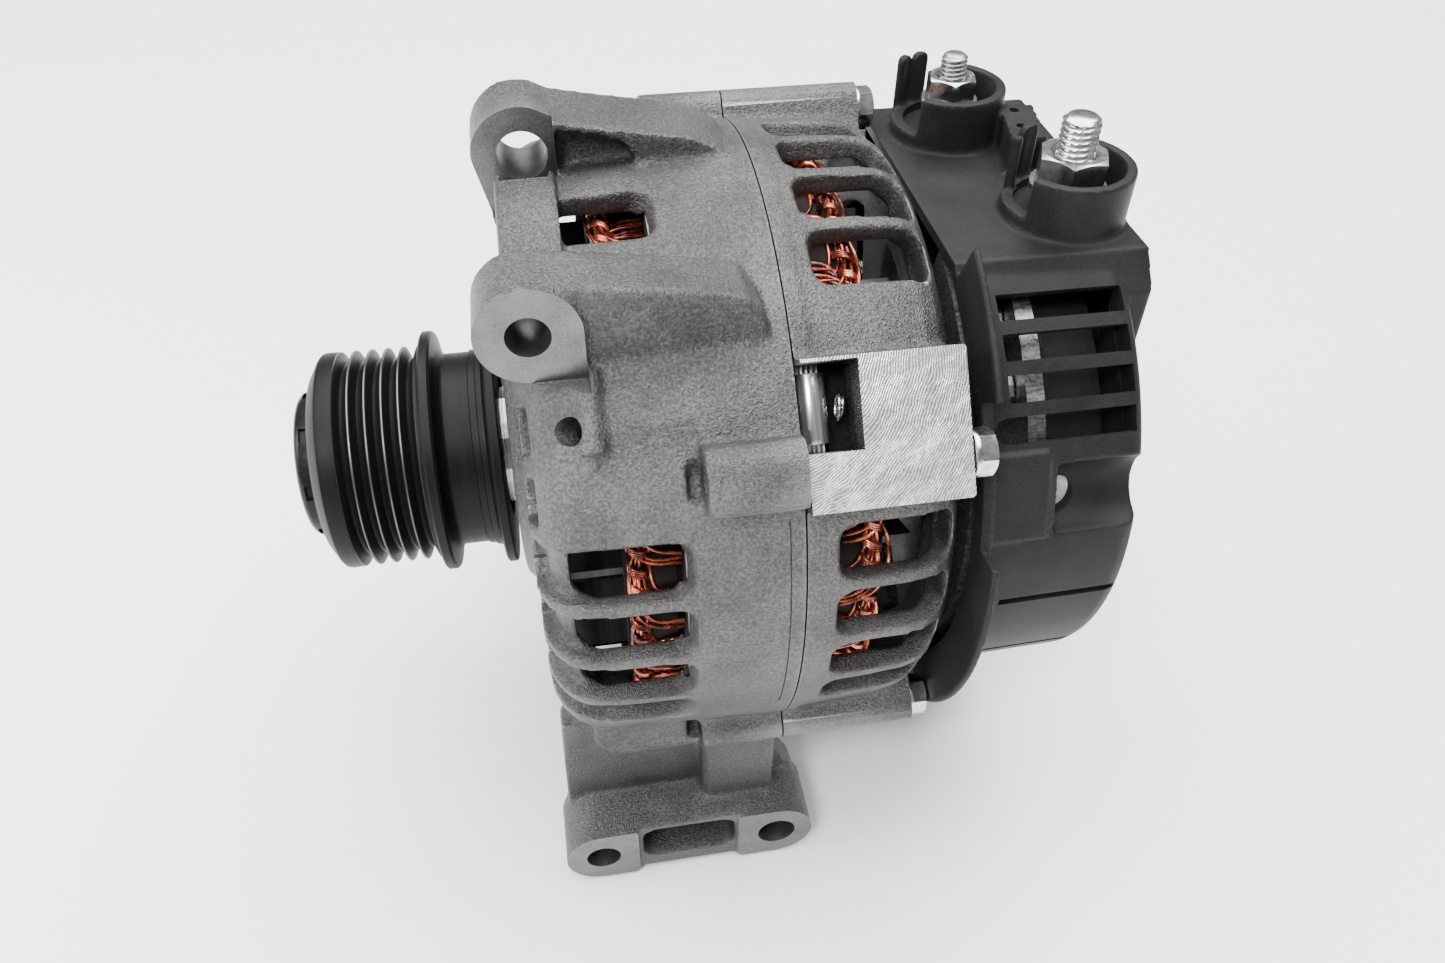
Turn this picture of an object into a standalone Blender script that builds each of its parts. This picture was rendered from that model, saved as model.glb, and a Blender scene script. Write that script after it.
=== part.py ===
"""Car alternator with an overrunning belt pulley, modelled as separate mechanical pieces.

Frame: +X runs along the rotor shaft from the pulley to the rear cover, +Z is up, the way the
terminal studs point, and the mounting bores run along Y with their machined faces towards -Y.
The origin is on the shaft's axis, in the plane where the two housing brackets meet.
Lengths below are millimetres. A clock angle is measured about the shaft from -Y towards +Z.
"""

import math

import bmesh
import bpy
from mathutils import Matrix, Vector

MM = 0.001
GAP = 0.3

# Housing
SPLIT_RADIUS = 70.4
SHELL_BORE = 65.8
SHELL_BORE_ENDS = 64.3
FRONT_FACE_X = -51.5
REAR_FACE_X = 33.5
BOLT_CIRCLE = 71.0
BOLT_ANGLES = (31.5, 119.0, 211.0, -41.0)
BOLT_RADIUS = 2.4
BOLT_HOLE_RADIUS = 2.8
BOLT_BOSS_HALF_WIDTH = 6.8
BOLT_BOSS_TOP = 76.4
BOLT_FRONT_X = -18.5
BOLT_SEAT_X = 31.2
PAD_ANGLE = 36.5
PAD_HEIGHT = 74.0
PAD_HALF_WIDTH = 14.4
WINDOW_ANGLE = 40.5

# Radial vents: the first slot's clock angle, the number of slots and the step between them
FRONT_VENTS = ((16.6, 4, -12.45), (76.5, 1, 13.33), (132.0, 5, 13.33), (226.0, 5, 13.33))
REAR_VENTS = ((16.5, 4, -12.5), (64.9, 4, 12.5), (132.0, 6, 12.5), (224.0, 5, 12.5))
FRONT_VENT_X = (-43.5, -23.8)
REAR_VENT_X = (7.0, 40.0)
VENT_WIDTH = 10.6

# Mounting ears and foot: (x, z) of each bore
EAR_THICKNESS = 14.0
UPPER_EAR = (-44.9, 71.8)
UPPER_EAR_FACE_Y = 1.5
UPPER_EAR_RADIUS = 10.0
UPPER_EAR_BORE = 5.1
LOWER_EAR = (-47.0, 61.0)
LOWER_EAR_FACE_Y = -45.0
LOWER_EAR_RADIUS = 9.7
LOWER_EAR_BORE = 4.1
FOOT_FACE_Y = -64.0
FOOT_BACK_Y = -48.0
FOOT_BORE_Z = -82.4
FOOT_RADIUS = 9.1
FOOT_BORES = ((-44.3, 4.2), (-0.7, 4.7))

# Stator
CORE_X = (-22.5, 5.5)
CORE_RADIUS = 65.4
CORE_BORE = 52.6
CORE_SLOTS = 24
CORE_SLOT_ROOT = 60.2
WINDING_X = (-36.5, 20.6)

# Rotor
ROTOR_RADIUS = 52.0
ROTOR_MID_X = -8.5
POLE_FINGERS = 6
SHAFT_SEAT = 8.5
SLIP_RING_RADIUS = 8.2
SLIP_RINGS_X = ((43.6, 49.4), (50.6, 56.4))

# Bearings: bore radius, outer radius, ball radius, ball circle, front and rear x
FRONT_BEARING = (8.8, 23.5, 3.9, 16.0, -51.2, -38.2)
REAR_BEARING = (7.8, 17.5, 2.5, 12.6, 21.5, 32.0)

# Pulley
RIB_PITCH = 3.56
RIB_COUNT = 5
FIRST_GROOVE_X = -89.68
PULLEY_RADIUS = 25.1
GROOVE_RADIUS = 22.1
FLANGE_RADIUS = 28.1
DRUM_RADIUS = 22.5
RIM_BORE = 17.3

# Lip of the rear cover: outer radius, first clock angle, sweep, facets and thickness of each stretch
LIP_PARTS = ((73.6, -62, 74, 8, 2.2), (66.6, 10, 30, 3, 2.6), (74.6, 38.5, 23, 3, 2.4))

# Rear cover and terminals: (x, y) of each stud
COVER_FRONT_X = 36.2
COVER_REAR_X = 72.0
COVER_RADIUS = 63.6
COVER_WALL = 2.6
DECK_Z = 58.0
TOWER_RIM_Z = 70.0
BATTERY_STUD = (64.5, -13.0)
SIGNAL_STUD = (52.2, 27.2)
COVER_SCREWS = (21.0, 165.0, 237.0)
COVER_SCREW_CIRCLE = 46.0


def clear_scene():
    for old in list(bpy.data.objects):
        bpy.data.objects.remove(old, do_unlink=True)


FINISHES = {
    "cast_aluminium": ((0.42, 0.42, 0.42), 0.55, 0.9),
    "bearing_steel": ((0.6, 0.6, 0.61), 0.25, 1.0),
    "lamination_steel": ((0.35, 0.35, 0.36), 0.45, 1.0),
    "forged_steel": ((0.25, 0.25, 0.26), 0.5, 1.0),
    "zinc_plate": ((0.75, 0.75, 0.76), 0.25, 1.0),
    "copper_wire": ((0.62, 0.2, 0.1), 0.35, 1.0),
    "copper_ring": ((0.72, 0.38, 0.24), 0.25, 1.0),
    "black_steel": ((0.03, 0.03, 0.03), 0.4, 0.4),
    "black_plastic": ((0.035, 0.035, 0.037), 0.55, 0.0),
    "carbon": ((0.05, 0.05, 0.05), 0.7, 0.1),
    "bright_aluminium": ((0.7, 0.7, 0.7), 0.35, 1.0),
}


def material(name, finish):
    colour, roughness, metallic = FINISHES[finish]
    made = bpy.data.materials.new(name)
    made.use_nodes = True
    shader = made.node_tree.nodes["Principled BSDF"]
    shader.inputs["Base Color"].default_value = (*colour, 1.0)
    shader.inputs["Roughness"].default_value = roughness
    shader.inputs["Metallic"].default_value = metallic
    return made


def finish(thing, finish_name):
    """Give a finished piece its own material and smooth shading with sharp edges."""
    thing.data.materials.clear()
    thing.data.materials.append(material(thing.name, finish_name))
    thing.data.shade_smooth()
    thing.data.set_sharp_from_angle(angle=math.radians(32))
    return thing


# Geometry helpers, in millimetres


def at(x, radius, clock):
    """A point given by its place along the shaft, its radius and its clock angle."""
    turn = math.radians(clock)
    return Vector((x, -radius * math.cos(turn), radius * math.sin(turn)))


def polar(centre, radius, degrees):
    turn = math.radians(degrees)
    return (centre[0] + radius * math.cos(turn), centre[1] + radius * math.sin(turn))


def arc(centre, radius, start, end, steps):
    return [polar(centre, radius, start + (end - start) * i / steps) for i in range(steps + 1)]


def rounded_rectangle(low, high, radius, steps=1):
    corners = (
        (high[0] - radius, high[1] - radius, 0),
        (low[0] + radius, high[1] - radius, 90),
        (low[0] + radius, low[1] + radius, 180),
        (high[0] - radius, low[1] + radius, 270),
    )
    outline = []
    for x, y, start in corners:
        outline += arc((x, y), radius, start, start + 90, steps)
    return outline


def new_object(name, bm):
    bmesh.ops.remove_doubles(bm, verts=bm.verts, dist=1e-6)
    bmesh.ops.recalc_face_normals(bm, faces=bm.faces)
    mesh = bpy.data.meshes.new(name)
    bm.to_mesh(mesh)
    bm.free()
    made = bpy.data.objects.new(name, mesh)
    bpy.context.scene.collection.objects.link(made)
    return made


def turned(name, profile, steps=32):
    """Spin a closed (x, radius) outline a full turn about the shaft."""
    bm = bmesh.new()
    verts = [bm.verts.new(at(x, r, 0) * MM) for x, r in profile]
    edges = [
        bm.edges.new((verts[i - 1], verts[i]))
        for i in range(len(verts))
        if profile[i][1] > 0 or profile[i - 1][1] > 0
    ]
    bmesh.ops.spin(bm, geom=verts + edges, axis=(1, 0, 0), cent=(0, 0, 0), angle=math.tau, steps=steps)
    return new_object(name, bm)


def sector(name, profile, start, sweep, steps):
    """Spin a closed (x, radius) outline through part of a turn, from a clock angle."""
    bm = bmesh.new()
    face = bm.faces.new([bm.verts.new(at(x, r, start) * MM) for x, r in profile])
    geometry = list(face.verts) + list(face.edges) + [face]
    bmesh.ops.spin(
        bm, geom=geometry, axis=(1, 0, 0), cent=(0, 0, 0), angle=-math.radians(sweep), steps=steps
    )
    return new_object(name, bm)


def prism(name, outline, axis, low, high):
    """Extrude a flat outline, given in the other two axes in their order, along an axis."""
    place = {
        "X": lambda u, v, depth: (depth, u, v),
        "Y": lambda u, v, depth: (u, depth, v),
        "Z": lambda u, v, depth: (u, v, depth),
    }[axis]
    bm = bmesh.new()
    base = bm.faces.new([bm.verts.new(Vector(place(u, v, low)) * MM) for u, v in outline])
    made = bmesh.ops.extrude_face_region(bm, geom=[base])["geom"]
    top = [item for item in made if isinstance(item, bmesh.types.BMVert)]
    bmesh.ops.translate(bm, verts=top, vec=Vector(place(0, 0, high - low)) * MM)
    return new_object(name, bm)


def bar(name, centre, radius, axis, low, high, steps=16):
    return prism(name, arc(centre, radius, 0, 360 - 360 / steps, steps - 1), axis, low, high)


def hexagon(name, centre, flats, axis, low, high, turn=0.0):
    corner = flats / 2 / math.cos(math.radians(30))
    return prism(name, [polar(centre, corner, turn + 60 * i) for i in range(6)], axis, low, high)


def block(name, low, high):
    outline = [(low[1], low[2]), (high[1], low[2]), (high[1], high[2]), (low[1], high[2])]
    return prism(name, outline, "X", low[0], high[0])


def face_clock(thing, clock):
    """Swing a piece that was drawn towards +Z round the shaft to a clock angle."""
    thing.data.transform(Matrix.Rotation(math.radians(90 - clock), 4, "X"))
    return thing


def gathered(name, pieces):
    """Put separate closed shapes into one object, as a tool for one Boolean."""
    bm = bmesh.new()
    for piece in pieces:
        bm.from_mesh(piece.data)
        bpy.data.objects.remove(piece, do_unlink=True)
    return new_object(name, bm)


def combine(target, tools, operation):
    for tool in tools:
        change = target.modifiers.new(operation, "BOOLEAN")
        change.operation = operation
        change.solver = "EXACT"
        change.object = tool
    graph = bpy.context.evaluated_depsgraph_get()
    mesh = bpy.data.meshes.new_from_object(target.evaluated_get(graph))
    target.modifiers.clear()
    target.data = mesh
    for tool in tools:
        bpy.data.objects.remove(tool, do_unlink=True)
    return tidy(target)


def fuse(target, *tools):
    return combine(target, tools, "UNION")


def cut(target, *tools):
    return combine(target, tools, "DIFFERENCE")


def tidy(thing):
    """Close the slivers that a Boolean leaves and turn every face outwards."""
    bm = bmesh.new()
    bm.from_mesh(thing.data)
    bmesh.ops.remove_doubles(bm, verts=bm.verts, dist=2e-6)
    bmesh.ops.dissolve_degenerate(bm, edges=bm.edges, dist=1e-6)
    bmesh.ops.recalc_face_normals(bm, faces=bm.faces)
    bm.to_mesh(thing.data)
    bm.free()
    return thing


# Housing brackets


def vent_tools(groups, span_x):
    """Slots through the housing's wall, at each group's clock angles."""
    slots = []
    for first, count, step in groups:
        for i in range(count):
            slot = block("slot", (span_x[0], -VENT_WIDTH / 2, 57), (span_x[1], VENT_WIDTH / 2, 80))
            slots.append(face_clock(slot, first + i * step))
    return gathered("slots", slots)


def windows(profile, count, sweep, first):
    return gathered(
        "windows", [sector("window", profile, first + 360 / count * i, sweep, 1) for i in range(count)]
    )


def bolt_bosses(low, high):
    """Rounded blocks on the housing's wall that carry the through bolts."""
    outline = rounded_rectangle((-BOLT_BOSS_HALF_WIDTH, 60), (BOLT_BOSS_HALF_WIDTH, BOLT_BOSS_TOP), 3.4)
    return gathered(
        "bosses", [face_clock(prism("boss", outline, "X", low, high), angle) for angle in BOLT_ANGLES]
    )


def bolt_bars(radius, low, high, steps):
    centres = [at(0, BOLT_CIRCLE, angle)[1:] for angle in BOLT_ANGLES]
    return [bar("bolt", centre, radius, "X", low, high, steps) for centre in centres]


def drive_end_shell():
    outside = turned(
        "drive_end_bracket",
        [(0, 0), (0, SPLIT_RADIUS), (-40, 68.8), (-45, 67.4), (-49, 64.0), (-51.1, 59.5),
         (FRONT_FACE_X, 55), (FRONT_FACE_X, 33.5), (-54.4, 30.5), (-54.4, 0)],
    )
    cut(outside, drive_end_cavity())
    cut(outside, vent_tools(FRONT_VENTS, FRONT_VENT_X))
    window = [(-56, 34.5), (-44, 34.5), (-44, 52), (-56, 52)]
    cut(outside, windows(window, 15, 19.8, 13.2))
    return outside


def drive_end_cavity():
    """Everything that stays open inside the drive-end bracket, with the bearing's pocket."""
    return turned(
        "cavity",
        [(1, 0), (1, SHELL_BORE), (-23, SHELL_BORE), (-23.4, SHELL_BORE_ENDS), (-40, SHELL_BORE_ENDS),
         (-44.5, 61), (-46.8, 55), (-46.8, 33.5), (-37.9, 31), (-37.9, 23.8), (-51.5, 23.8),
         (-51.5, 16), (-56, 16), (-56, 0)],
    )


def upper_ear():
    x, z = UPPER_EAR
    outline = arc(UPPER_EAR, UPPER_EAR_RADIUS, 180, 75, 5)
    outline += [(-38.7, 79.6), (-28, 77.4), (-12, 74.6), (-8, 72.7), (-3.9, 70.2), (-3.9, 62), (-50.9, 55)]
    ear = prism("ear", outline, "Y", UPPER_EAR_FACE_Y, UPPER_EAR_FACE_Y + EAR_THICKNESS)
    pocket = [(-36.5, 77.6), (-28, 75.8), (-13.5, 72.6), (-10.5, 70.2), (-10.5, 66), (-36.5, 66)]
    cut(ear, prism("pocket", pocket, "Y", UPPER_EAR_FACE_Y - 1, UPPER_EAR_FACE_Y + EAR_THICKNESS - 3))
    cut(ear, block("relief", (-56, UPPER_EAR_FACE_Y - 1, 54), (-30, UPPER_EAR_FACE_Y + 0.5, 68.4)))
    return cut(ear, bar("bore", (x, z), UPPER_EAR_BORE, "Y", -5, 20, 20))


def lower_ear():
    face, back = LOWER_EAR_FACE_Y, LOWER_EAR_FACE_Y + EAR_THICKNESS
    outline = arc(LOWER_EAR, LOWER_EAR_RADIUS, 270, 90, 8)
    outline += [(-40, 70.2), (-10, 64.2), (-6, 61.8), (-3.6, 57), (-3.5, 48)]
    arm = prism("arm", outline, "Y", face + 1.2, back)
    ring = bar("ring", LOWER_EAR, LOWER_EAR_RADIUS, "Y", face, back, 16)
    return fuse(arm, ring)


def foot():
    left, right = FOOT_BORES[0][0], FOOT_BORES[1][0]
    outline = arc((left, FOOT_BORE_Z), FOOT_RADIUS, 90, 270, 7)
    outline += arc((right, FOOT_BORE_Z), FOOT_RADIUS, 270, 450, 7)
    base = prism("foot", outline, "Y", FOOT_FACE_Y, FOOT_BACK_Y)
    relief = block("relief", (-35.6, FOOT_FACE_Y - 1, -95), (-10.4, FOOT_FACE_Y + 0.9, -70))
    hollow = rounded_rectangle((-34.2, -86.6), (-11.2, -75.4), 3.2)
    cut(base, relief)
    cut(base, prism("hollow", hollow, "Y", FOOT_FACE_Y - 1, FOOT_BACK_Y - 3.2))
    wall_outline = [(-50.8, -46), (-51.6, -80), (7, -80), (5.4, -73), (-0.6, -62), (-0.6, -46)]
    wall = prism("wall", wall_outline, "Y", -51.2, -45)
    post = prism("post", rounded_rectangle((-18.3, -57), (-0.6, -44), 2.4), "Z", -76, -48)
    root = block("root", (-41.5, -55, -57.4), (-18, -44, -44))
    return fuse(base, wall, root, post)


def ear_web():
    """The wall that joins the two ears across the front shoulder."""
    profile = [(-50.8, 60), (-50.8, 67.0), (-49.4, 68.8), (-39.6, 69.4), (-39.6, 60)]
    return sector("web", profile, 57, 35, 5)


def front_boss():
    """The sloped boss with a tapped hole on the front shoulder."""
    outline = [(-47.6, 57.5), (-48.2, 60.8), (-38.8, 70.6), (-36.4, 70.8), (-34.8, 69), (-34.8, 58)]
    return face_clock(prism("boss", outline, "Y", -4.5, 9.5), 41)


def tapped_hole():
    hole = bar("tapped", (0, 0), 2.1, "Z", -6, 9, 10)
    hole.data.transform(Matrix.Translation(Vector((-41.3, 0, 68.2)) * MM) @ Matrix.Rotation(-0.87, 4, "Y"))
    return face_clock(hole, 41)


def drive_end_bracket():
    bracket = drive_end_shell()
    features = upper_ear()
    fuse(features, lower_ear())
    fuse(features, foot(), front_boss(), ear_web())
    fuse(features, bolt_bosses(BOLT_FRONT_X, 0))
    cut(features, drive_end_cavity())
    fuse(bracket, features)
    cut(bracket, gathered("holes", bolt_bars(BOLT_HOLE_RADIUS, -30, 2, 12)))
    cut(bracket, bar("bore", LOWER_EAR, LOWER_EAR_BORE, "Y", -50, -20, 16))
    bores = [bar("bore", (x, FOOT_BORE_Z), r, "Y", -70, -40, 16) for x, r in FOOT_BORES]
    bores.append(tapped_hole())
    cut(bracket, gathered("bores", bores))
    cut(bracket, gathered("screw_holes", retainer_bars(2.3, -44, -36)))
    return finish(bracket, "cast_aluminium")


def slip_ring_end_bracket():
    bracket = turned(
        "slip_ring_end_bracket",
        [(0, 0), (0, SPLIT_RADIUS), (24, 69.0), (28.5, 67.6), (31.6, 64.8), (33.3, 60.5), (REAR_FACE_X, 56),
         (REAR_FACE_X, 24), (35.6, 22), (35.6, 0)],
    )
    pad = [(-PAD_HALF_WIDTH, 58), (PAD_HALF_WIDTH, 58), (PAD_HALF_WIDTH, 72.6),
           (PAD_HALF_WIDTH - 1.4, PAD_HEIGHT),
           (-PAD_HALF_WIDTH + 1.4, PAD_HEIGHT), (-PAD_HALF_WIDTH, 72.6)]
    cut(bracket, vent_tools(REAR_VENTS, REAR_VENT_X))
    fuse(bracket, face_clock(prism("pad", pad, "X", 0, BOLT_SEAT_X), PAD_ANGLE))
    fuse(bracket, bolt_bosses(0, BOLT_SEAT_X))
    cut(bracket, turned(
        "cavity",
        [(-1, 0), (-1, SHELL_BORE), (6.0, SHELL_BORE), (6.4, SHELL_BORE_ENDS), (24, SHELL_BORE_ENDS),
         (28, 60.5),
         (29.6, 55), (29.6, 25), (20.9, 22), (20.9, 17.8), (32.3, 17.8), (32.3, 11), (40, 11), (40, 0)],
    ))
    cut(bracket, windows([(25, 28), (40, 28), (40, 50), (25, 50)], 5, 50, 32))
    window = block("window", (-1, -8.3, 55), (10.8, 8.3, 80))
    cut(bracket, face_clock(window, WINDOW_ANGLE))
    cut(bracket, gathered("holes", bolt_bars(BOLT_HOLE_RADIUS, -2, 40, 12)))
    return finish(bracket, "cast_aluminium")


# Stator


def stator_core():
    core = turned(
        "stator_core",
        [(CORE_X[0], CORE_BORE), (CORE_X[0], CORE_RADIUS), (CORE_X[1], CORE_RADIUS), (CORE_X[1], CORE_BORE)],
    )
    key = block("key", (0.5, -6.6, 60), (CORE_X[1], 6.6, 69.4))
    fuse(core, face_clock(key, WINDOW_ANGLE))
    slots = []
    for i in range(CORE_SLOTS):
        slot = block("slot", (CORE_X[0] - 2, -2.3, 50), (CORE_X[1] + 2, 2.3, CORE_SLOT_ROOT))
        slots.append(face_clock(slot, 360 / CORE_SLOTS * i))
    cut(core, gathered("slots", slots))
    return finish(core, "lamination_steel")


def stator_winding():
    """Both end turns with the conductors that join them through the core's slots."""
    front_x, rear_x = WINDING_X
    low, high = 53.6, 59.8
    front = [(front_x, 56), (front_x, 61), (front_x + 2.5, 62.6), (-24.5, 62.6), (CORE_X[0] - GAP, 60.5),
             (CORE_X[0] - GAP, low), (front_x + 3, low)]
    rear = [(rear_x, 61), (rear_x, 56), (rear_x - 3, low), (CORE_X[1] + GAP, low), (CORE_X[1] + GAP, 60.5),
            (7.5, 62.6), (rear_x - 2.5, 62.6)]
    winding = turned("stator_winding", front, CORE_SLOTS)
    bars = []
    for i in range(CORE_SLOTS):
        conductor = block("conductor", (CORE_X[0] - 1.5, -1.9, low + 0.5), (CORE_X[1] + 1.5, 1.9, high))
        bars.append(face_clock(conductor, 360 / CORE_SLOTS * i))
    fuse(winding, gathered("conductors", bars))
    fuse(winding, turned("rear_turns", rear, CORE_SLOTS))
    return finish(winding, "copper_wire")


# Rotor


def rotor_shaft():
    profile = [(-96, 0), (-96, 6.4), (-95, 7.2), (-56.8, 7.2), (-56.2, SHAFT_SEAT), (-37.3, SHAFT_SEAT),
               (-37.3, 11), (-31, 11), (-31, 8.9), (13.8, 8.9), (13.8, 10.4), (21.2, 10.4), (21.2, 7.5),
               (37.5, 7.5),
               (38.5, 5.4), (57.2, 5.4), (58, 4.6), (58, 0)]
    return finish(turned("rotor_shaft", profile, 20), "bearing_steel")


def pole_finger(base_x, tip_x, clock):
    """One claw: thick and wide at its disc, thin and narrow at its tip."""
    stations = ((base_x, 33.0, 14.6), (base_x + (tip_x - base_x) * 0.3, 37.5, 13.2), (tip_x, 47.0, 6.6))
    bm = bmesh.new()
    rings = []
    for x, inner, half in stations:
        outer = [at(x, ROTOR_RADIUS, clock - half + half * j) for j in range(3)]
        under = [at(x, inner, clock + half), at(x, inner, clock - half)]
        rings.append([bm.verts.new(point * MM) for point in outer + under])
    bm.faces.new(rings[0])
    bm.faces.new(rings[-1])
    for near, far in zip(rings, rings[1:], strict=False):
        for j in range(5):
            k = (j + 1) % 5
            bm.faces.new((near[j], near[k], far[k], far[j]))
    return new_object("finger", bm)


def claw_pole(name, disc_x, hub_x, tip_x, first_clock):
    """A disc with a hub for the field coil and a ring of interleaving claws."""
    outer_x = disc_x + (12 if tip_x > disc_x else -12)
    hub = (hub_x, 13.2)
    profile = [(disc_x, 9.2), (disc_x, 36), (outer_x, 38), (outer_x, 13.2), hub, (hub_x, 9.2)]
    pole = turned(name, profile, 24)
    step = 360 / POLE_FINGERS
    fingers = [pole_finger(disc_x, tip_x, first_clock + step * i) for i in range(POLE_FINGERS)]
    fuse(pole, gathered("fingers", fingers))
    return finish(pole, "forged_steel")


def rotor_poles():
    reach = 20.0
    claw_pole("front_claw_pole", ROTOR_MID_X - reach, ROTOR_MID_X - 0.2, ROTOR_MID_X + 17.5, 0)
    claw_pole("rear_claw_pole", ROTOR_MID_X + reach, ROTOR_MID_X + 0.2, ROTOR_MID_X - 17.5, 30)


def field_coil():
    low, high = ROTOR_MID_X - 7.7, ROTOR_MID_X + 7.7
    spool = [
        (low, 13.6), (low, 36), (low + 1, 36), (low + 1, 15), (high - 1, 15), (high - 1, 36), (high, 36),
        (high, 13.6),
    ]
    finish(turned("coil_spool", spool, 24), "black_plastic")
    wire = [
        (low + 1.3, 15.3), (low + 1.3, 34), (low + 3, 35.4), (high - 3, 35.4), (high - 1.3, 34),
        (high - 1.3, 15.3),
    ]
    finish(turned("field_coil", wire, 24), "copper_wire")


def fan(name, plate_x, tip_x, blade_count):
    """A pressed fan: a scalloped plate with blades that stand up along the shaft."""
    back_x = plate_x + (1.2 if tip_x < plate_x else -1.2)
    low, high = min(plate_x, back_x), max(plate_x, back_x)
    disc = turned(name, [(low, 12.5), (low, 34), (high, 34), (high, 12.5)], 24)
    parts = []
    start, end = min(tip_x, high - 0.3), max(tip_x, low + 0.3)
    tab_outline = [(-4, 31), (9, 31), (11.5, 49), (3.0, 50.8)]
    blade_outline = [(-0.4, 34.7), (5.6, 49.6), (4.2, 50.1), (-1.6, 35.1)]
    for i in range(blade_count):
        tab = prism("tab", tab_outline, "X", low + 0.1, high - 0.1)
        blade = prism("blade", blade_outline, "X", start, end)
        parts.append(face_clock(fuse(tab, blade), 360 / blade_count * i))
    fuse(disc, *parts)
    return finish(disc, "bearing_steel")


def slip_rings():
    for name, (low, high) in zip(("slip_ring_front", "slip_ring_rear"), SLIP_RINGS_X, strict=True):
        section = [(low, 7.2), (low, SLIP_RING_RADIUS), (high, SLIP_RING_RADIUS), (high, 7.2)]
        finish(turned(name, section, 24), "copper_ring")
    low, mid, high = 42.6, 50.0, 57.4
    profile = [(low, 5.7), (low, 7.9), (43.3, 7.9), (43.3, 6.9), (49.7, 6.9), (49.7, 7.9), (mid + GAP, 7.9),
               (mid + GAP, 6.9), (56.7, 6.9), (56.7, 7.9), (high, 7.9), (high, 5.7)]
    finish(turned("slip_ring_sleeve", profile, 20), "black_plastic")


# Bearings


def race_groove(centre_x, ball_circle, ball, side, land):
    """Points of a ball groove in a race: side is -1 for an inner race and +1 for an outer one."""
    bottom = ball_circle + side * (ball + 0.65)
    half, flat = ball * 0.9 + 0.5, ball * 0.5
    steps = ((-half, land), (-flat, bottom), (flat, bottom), (half, land))
    return [(centre_x + offset, radius) for offset, radius in steps]


def bearing(prefix, sizes, balls):
    bore, outside, ball, circle, front, rear = sizes
    mid = (front + rear) / 2
    inner_land, outer_land = circle - ball * 0.72, circle + ball * 0.72
    inner = [(front, bore), (front, inner_land)] + race_groove(mid, circle, ball, -1, inner_land)
    inner += [(rear, inner_land), (rear, bore)]
    finish(turned(f"{prefix}_bearing_inner_race", inner, 20), "bearing_steel")
    outer = [(rear, outside), (rear, outer_land)] + race_groove(mid, circle, ball, 1, outer_land)[::-1]
    outer += [(front, outer_land), (front, outside)]
    finish(turned(f"{prefix}_bearing_outer_race", outer, 20), "bearing_steel")
    half = ball * 0.62
    cage_ring = [
        (mid - half, circle - 0.7), (mid - half, circle + 0.7), (mid + half, circle + 0.7),
        (mid + half, circle - 0.7),
    ]
    cage = turned(f"{prefix}_bearing_balls", cage_ring, 16)
    spheres = []
    for i in range(balls):
        bm = bmesh.new()
        centre = Matrix.Translation(at(mid, circle, 360 / balls * (i + 0.5)) * MM)
        bmesh.ops.create_icosphere(bm, subdivisions=1, radius=ball * MM, matrix=centre)
        spheres.append(new_object("ball", bm))
    fuse(cage, gathered("balls", spheres))
    return finish(cage, "bearing_steel")


def retainer_bars(radius, low, high):
    return [bar("screw", at(0, 27.2, 60 + 120 * i)[1:], radius, "X", low, high, 8) for i in range(3)]


def bearing_retainer():
    plate = turned("bearing_retainer_plate", [(-37.3, 18.2), (-37.3, 30.6), (-36.0, 30.6), (-36.0, 18.2)], 24)
    cut(plate, gathered("holes", retainer_bars(2.3, -39, -34)))
    finish(plate, "zinc_plate")
    shanks, heads = retainer_bars(1.9, -43, -35), retainer_bars(3.2, -35.7, -33.8)
    for i, (shank, head) in enumerate(zip(shanks, heads, strict=True)):
        shank.name = f"retainer_screw_{i + 1}"
        finish(fuse(shank, head), "zinc_plate")


# Fasteners


def through_bolts():
    for i, angle in enumerate(BOLT_ANGLES):
        centre = at(0, BOLT_CIRCLE, angle)[1:]
        bolt = bar(f"through_bolt_{i + 1}", centre, BOLT_RADIUS, "X", -17.6, 32.5, 8)
        seat = BOLT_SEAT_X + GAP
        collar = bar("collar", centre, 4.7, "X", seat, seat + 0.9, 10)
        head = hexagon("head", centre, 8.0, "X", seat + 0.5, seat + 4.4, 12)
        fuse(bolt, collar, head)
        finish(bolt, "zinc_plate")


def terminal(prefix, place, radius, top, flats, nut_low, nut_high):
    x, y = place
    stud = bar(f"{prefix}_stud", place, radius, "Z", 44, top - 1.2, 16)
    tip = bar("tip", place, radius - 0.9, "Z", top - 2, top, 16)
    head = block("head", (x - 4.4, y - 4.4, 41.5), (x + 4.4, y + 4.4, 45))
    finish(fuse(stud, tip, head), "zinc_plate")
    nut = hexagon(f"{prefix}_nut", place, flats, "Z", nut_low, nut_high, 8)
    washer = bar("washer", place, flats / 2 + 1.2, "Z", nut_low - 1.2, nut_low + 0.2, 20)
    fuse(nut, washer)
    cut(nut, bar("thread", place, radius + GAP, "Z", nut_low - 3, nut_high + 2, 16))
    return finish(nut, "zinc_plate")


def cover_screws():
    for i, angle in enumerate(COVER_SCREWS):
        centre = at(0, COVER_SCREW_CIRCLE, angle)[1:]
        screw = bar(f"cover_screw_{i + 1}", centre, 2.4, "X", 33.9, COVER_REAR_X + 2, 10)
        head = hexagon("head", centre, 8.0, "X", COVER_REAR_X + GAP, COVER_REAR_X + 4.4)
        fuse(screw, head)
        finish(screw, "zinc_plate")


# Pulley


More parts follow.
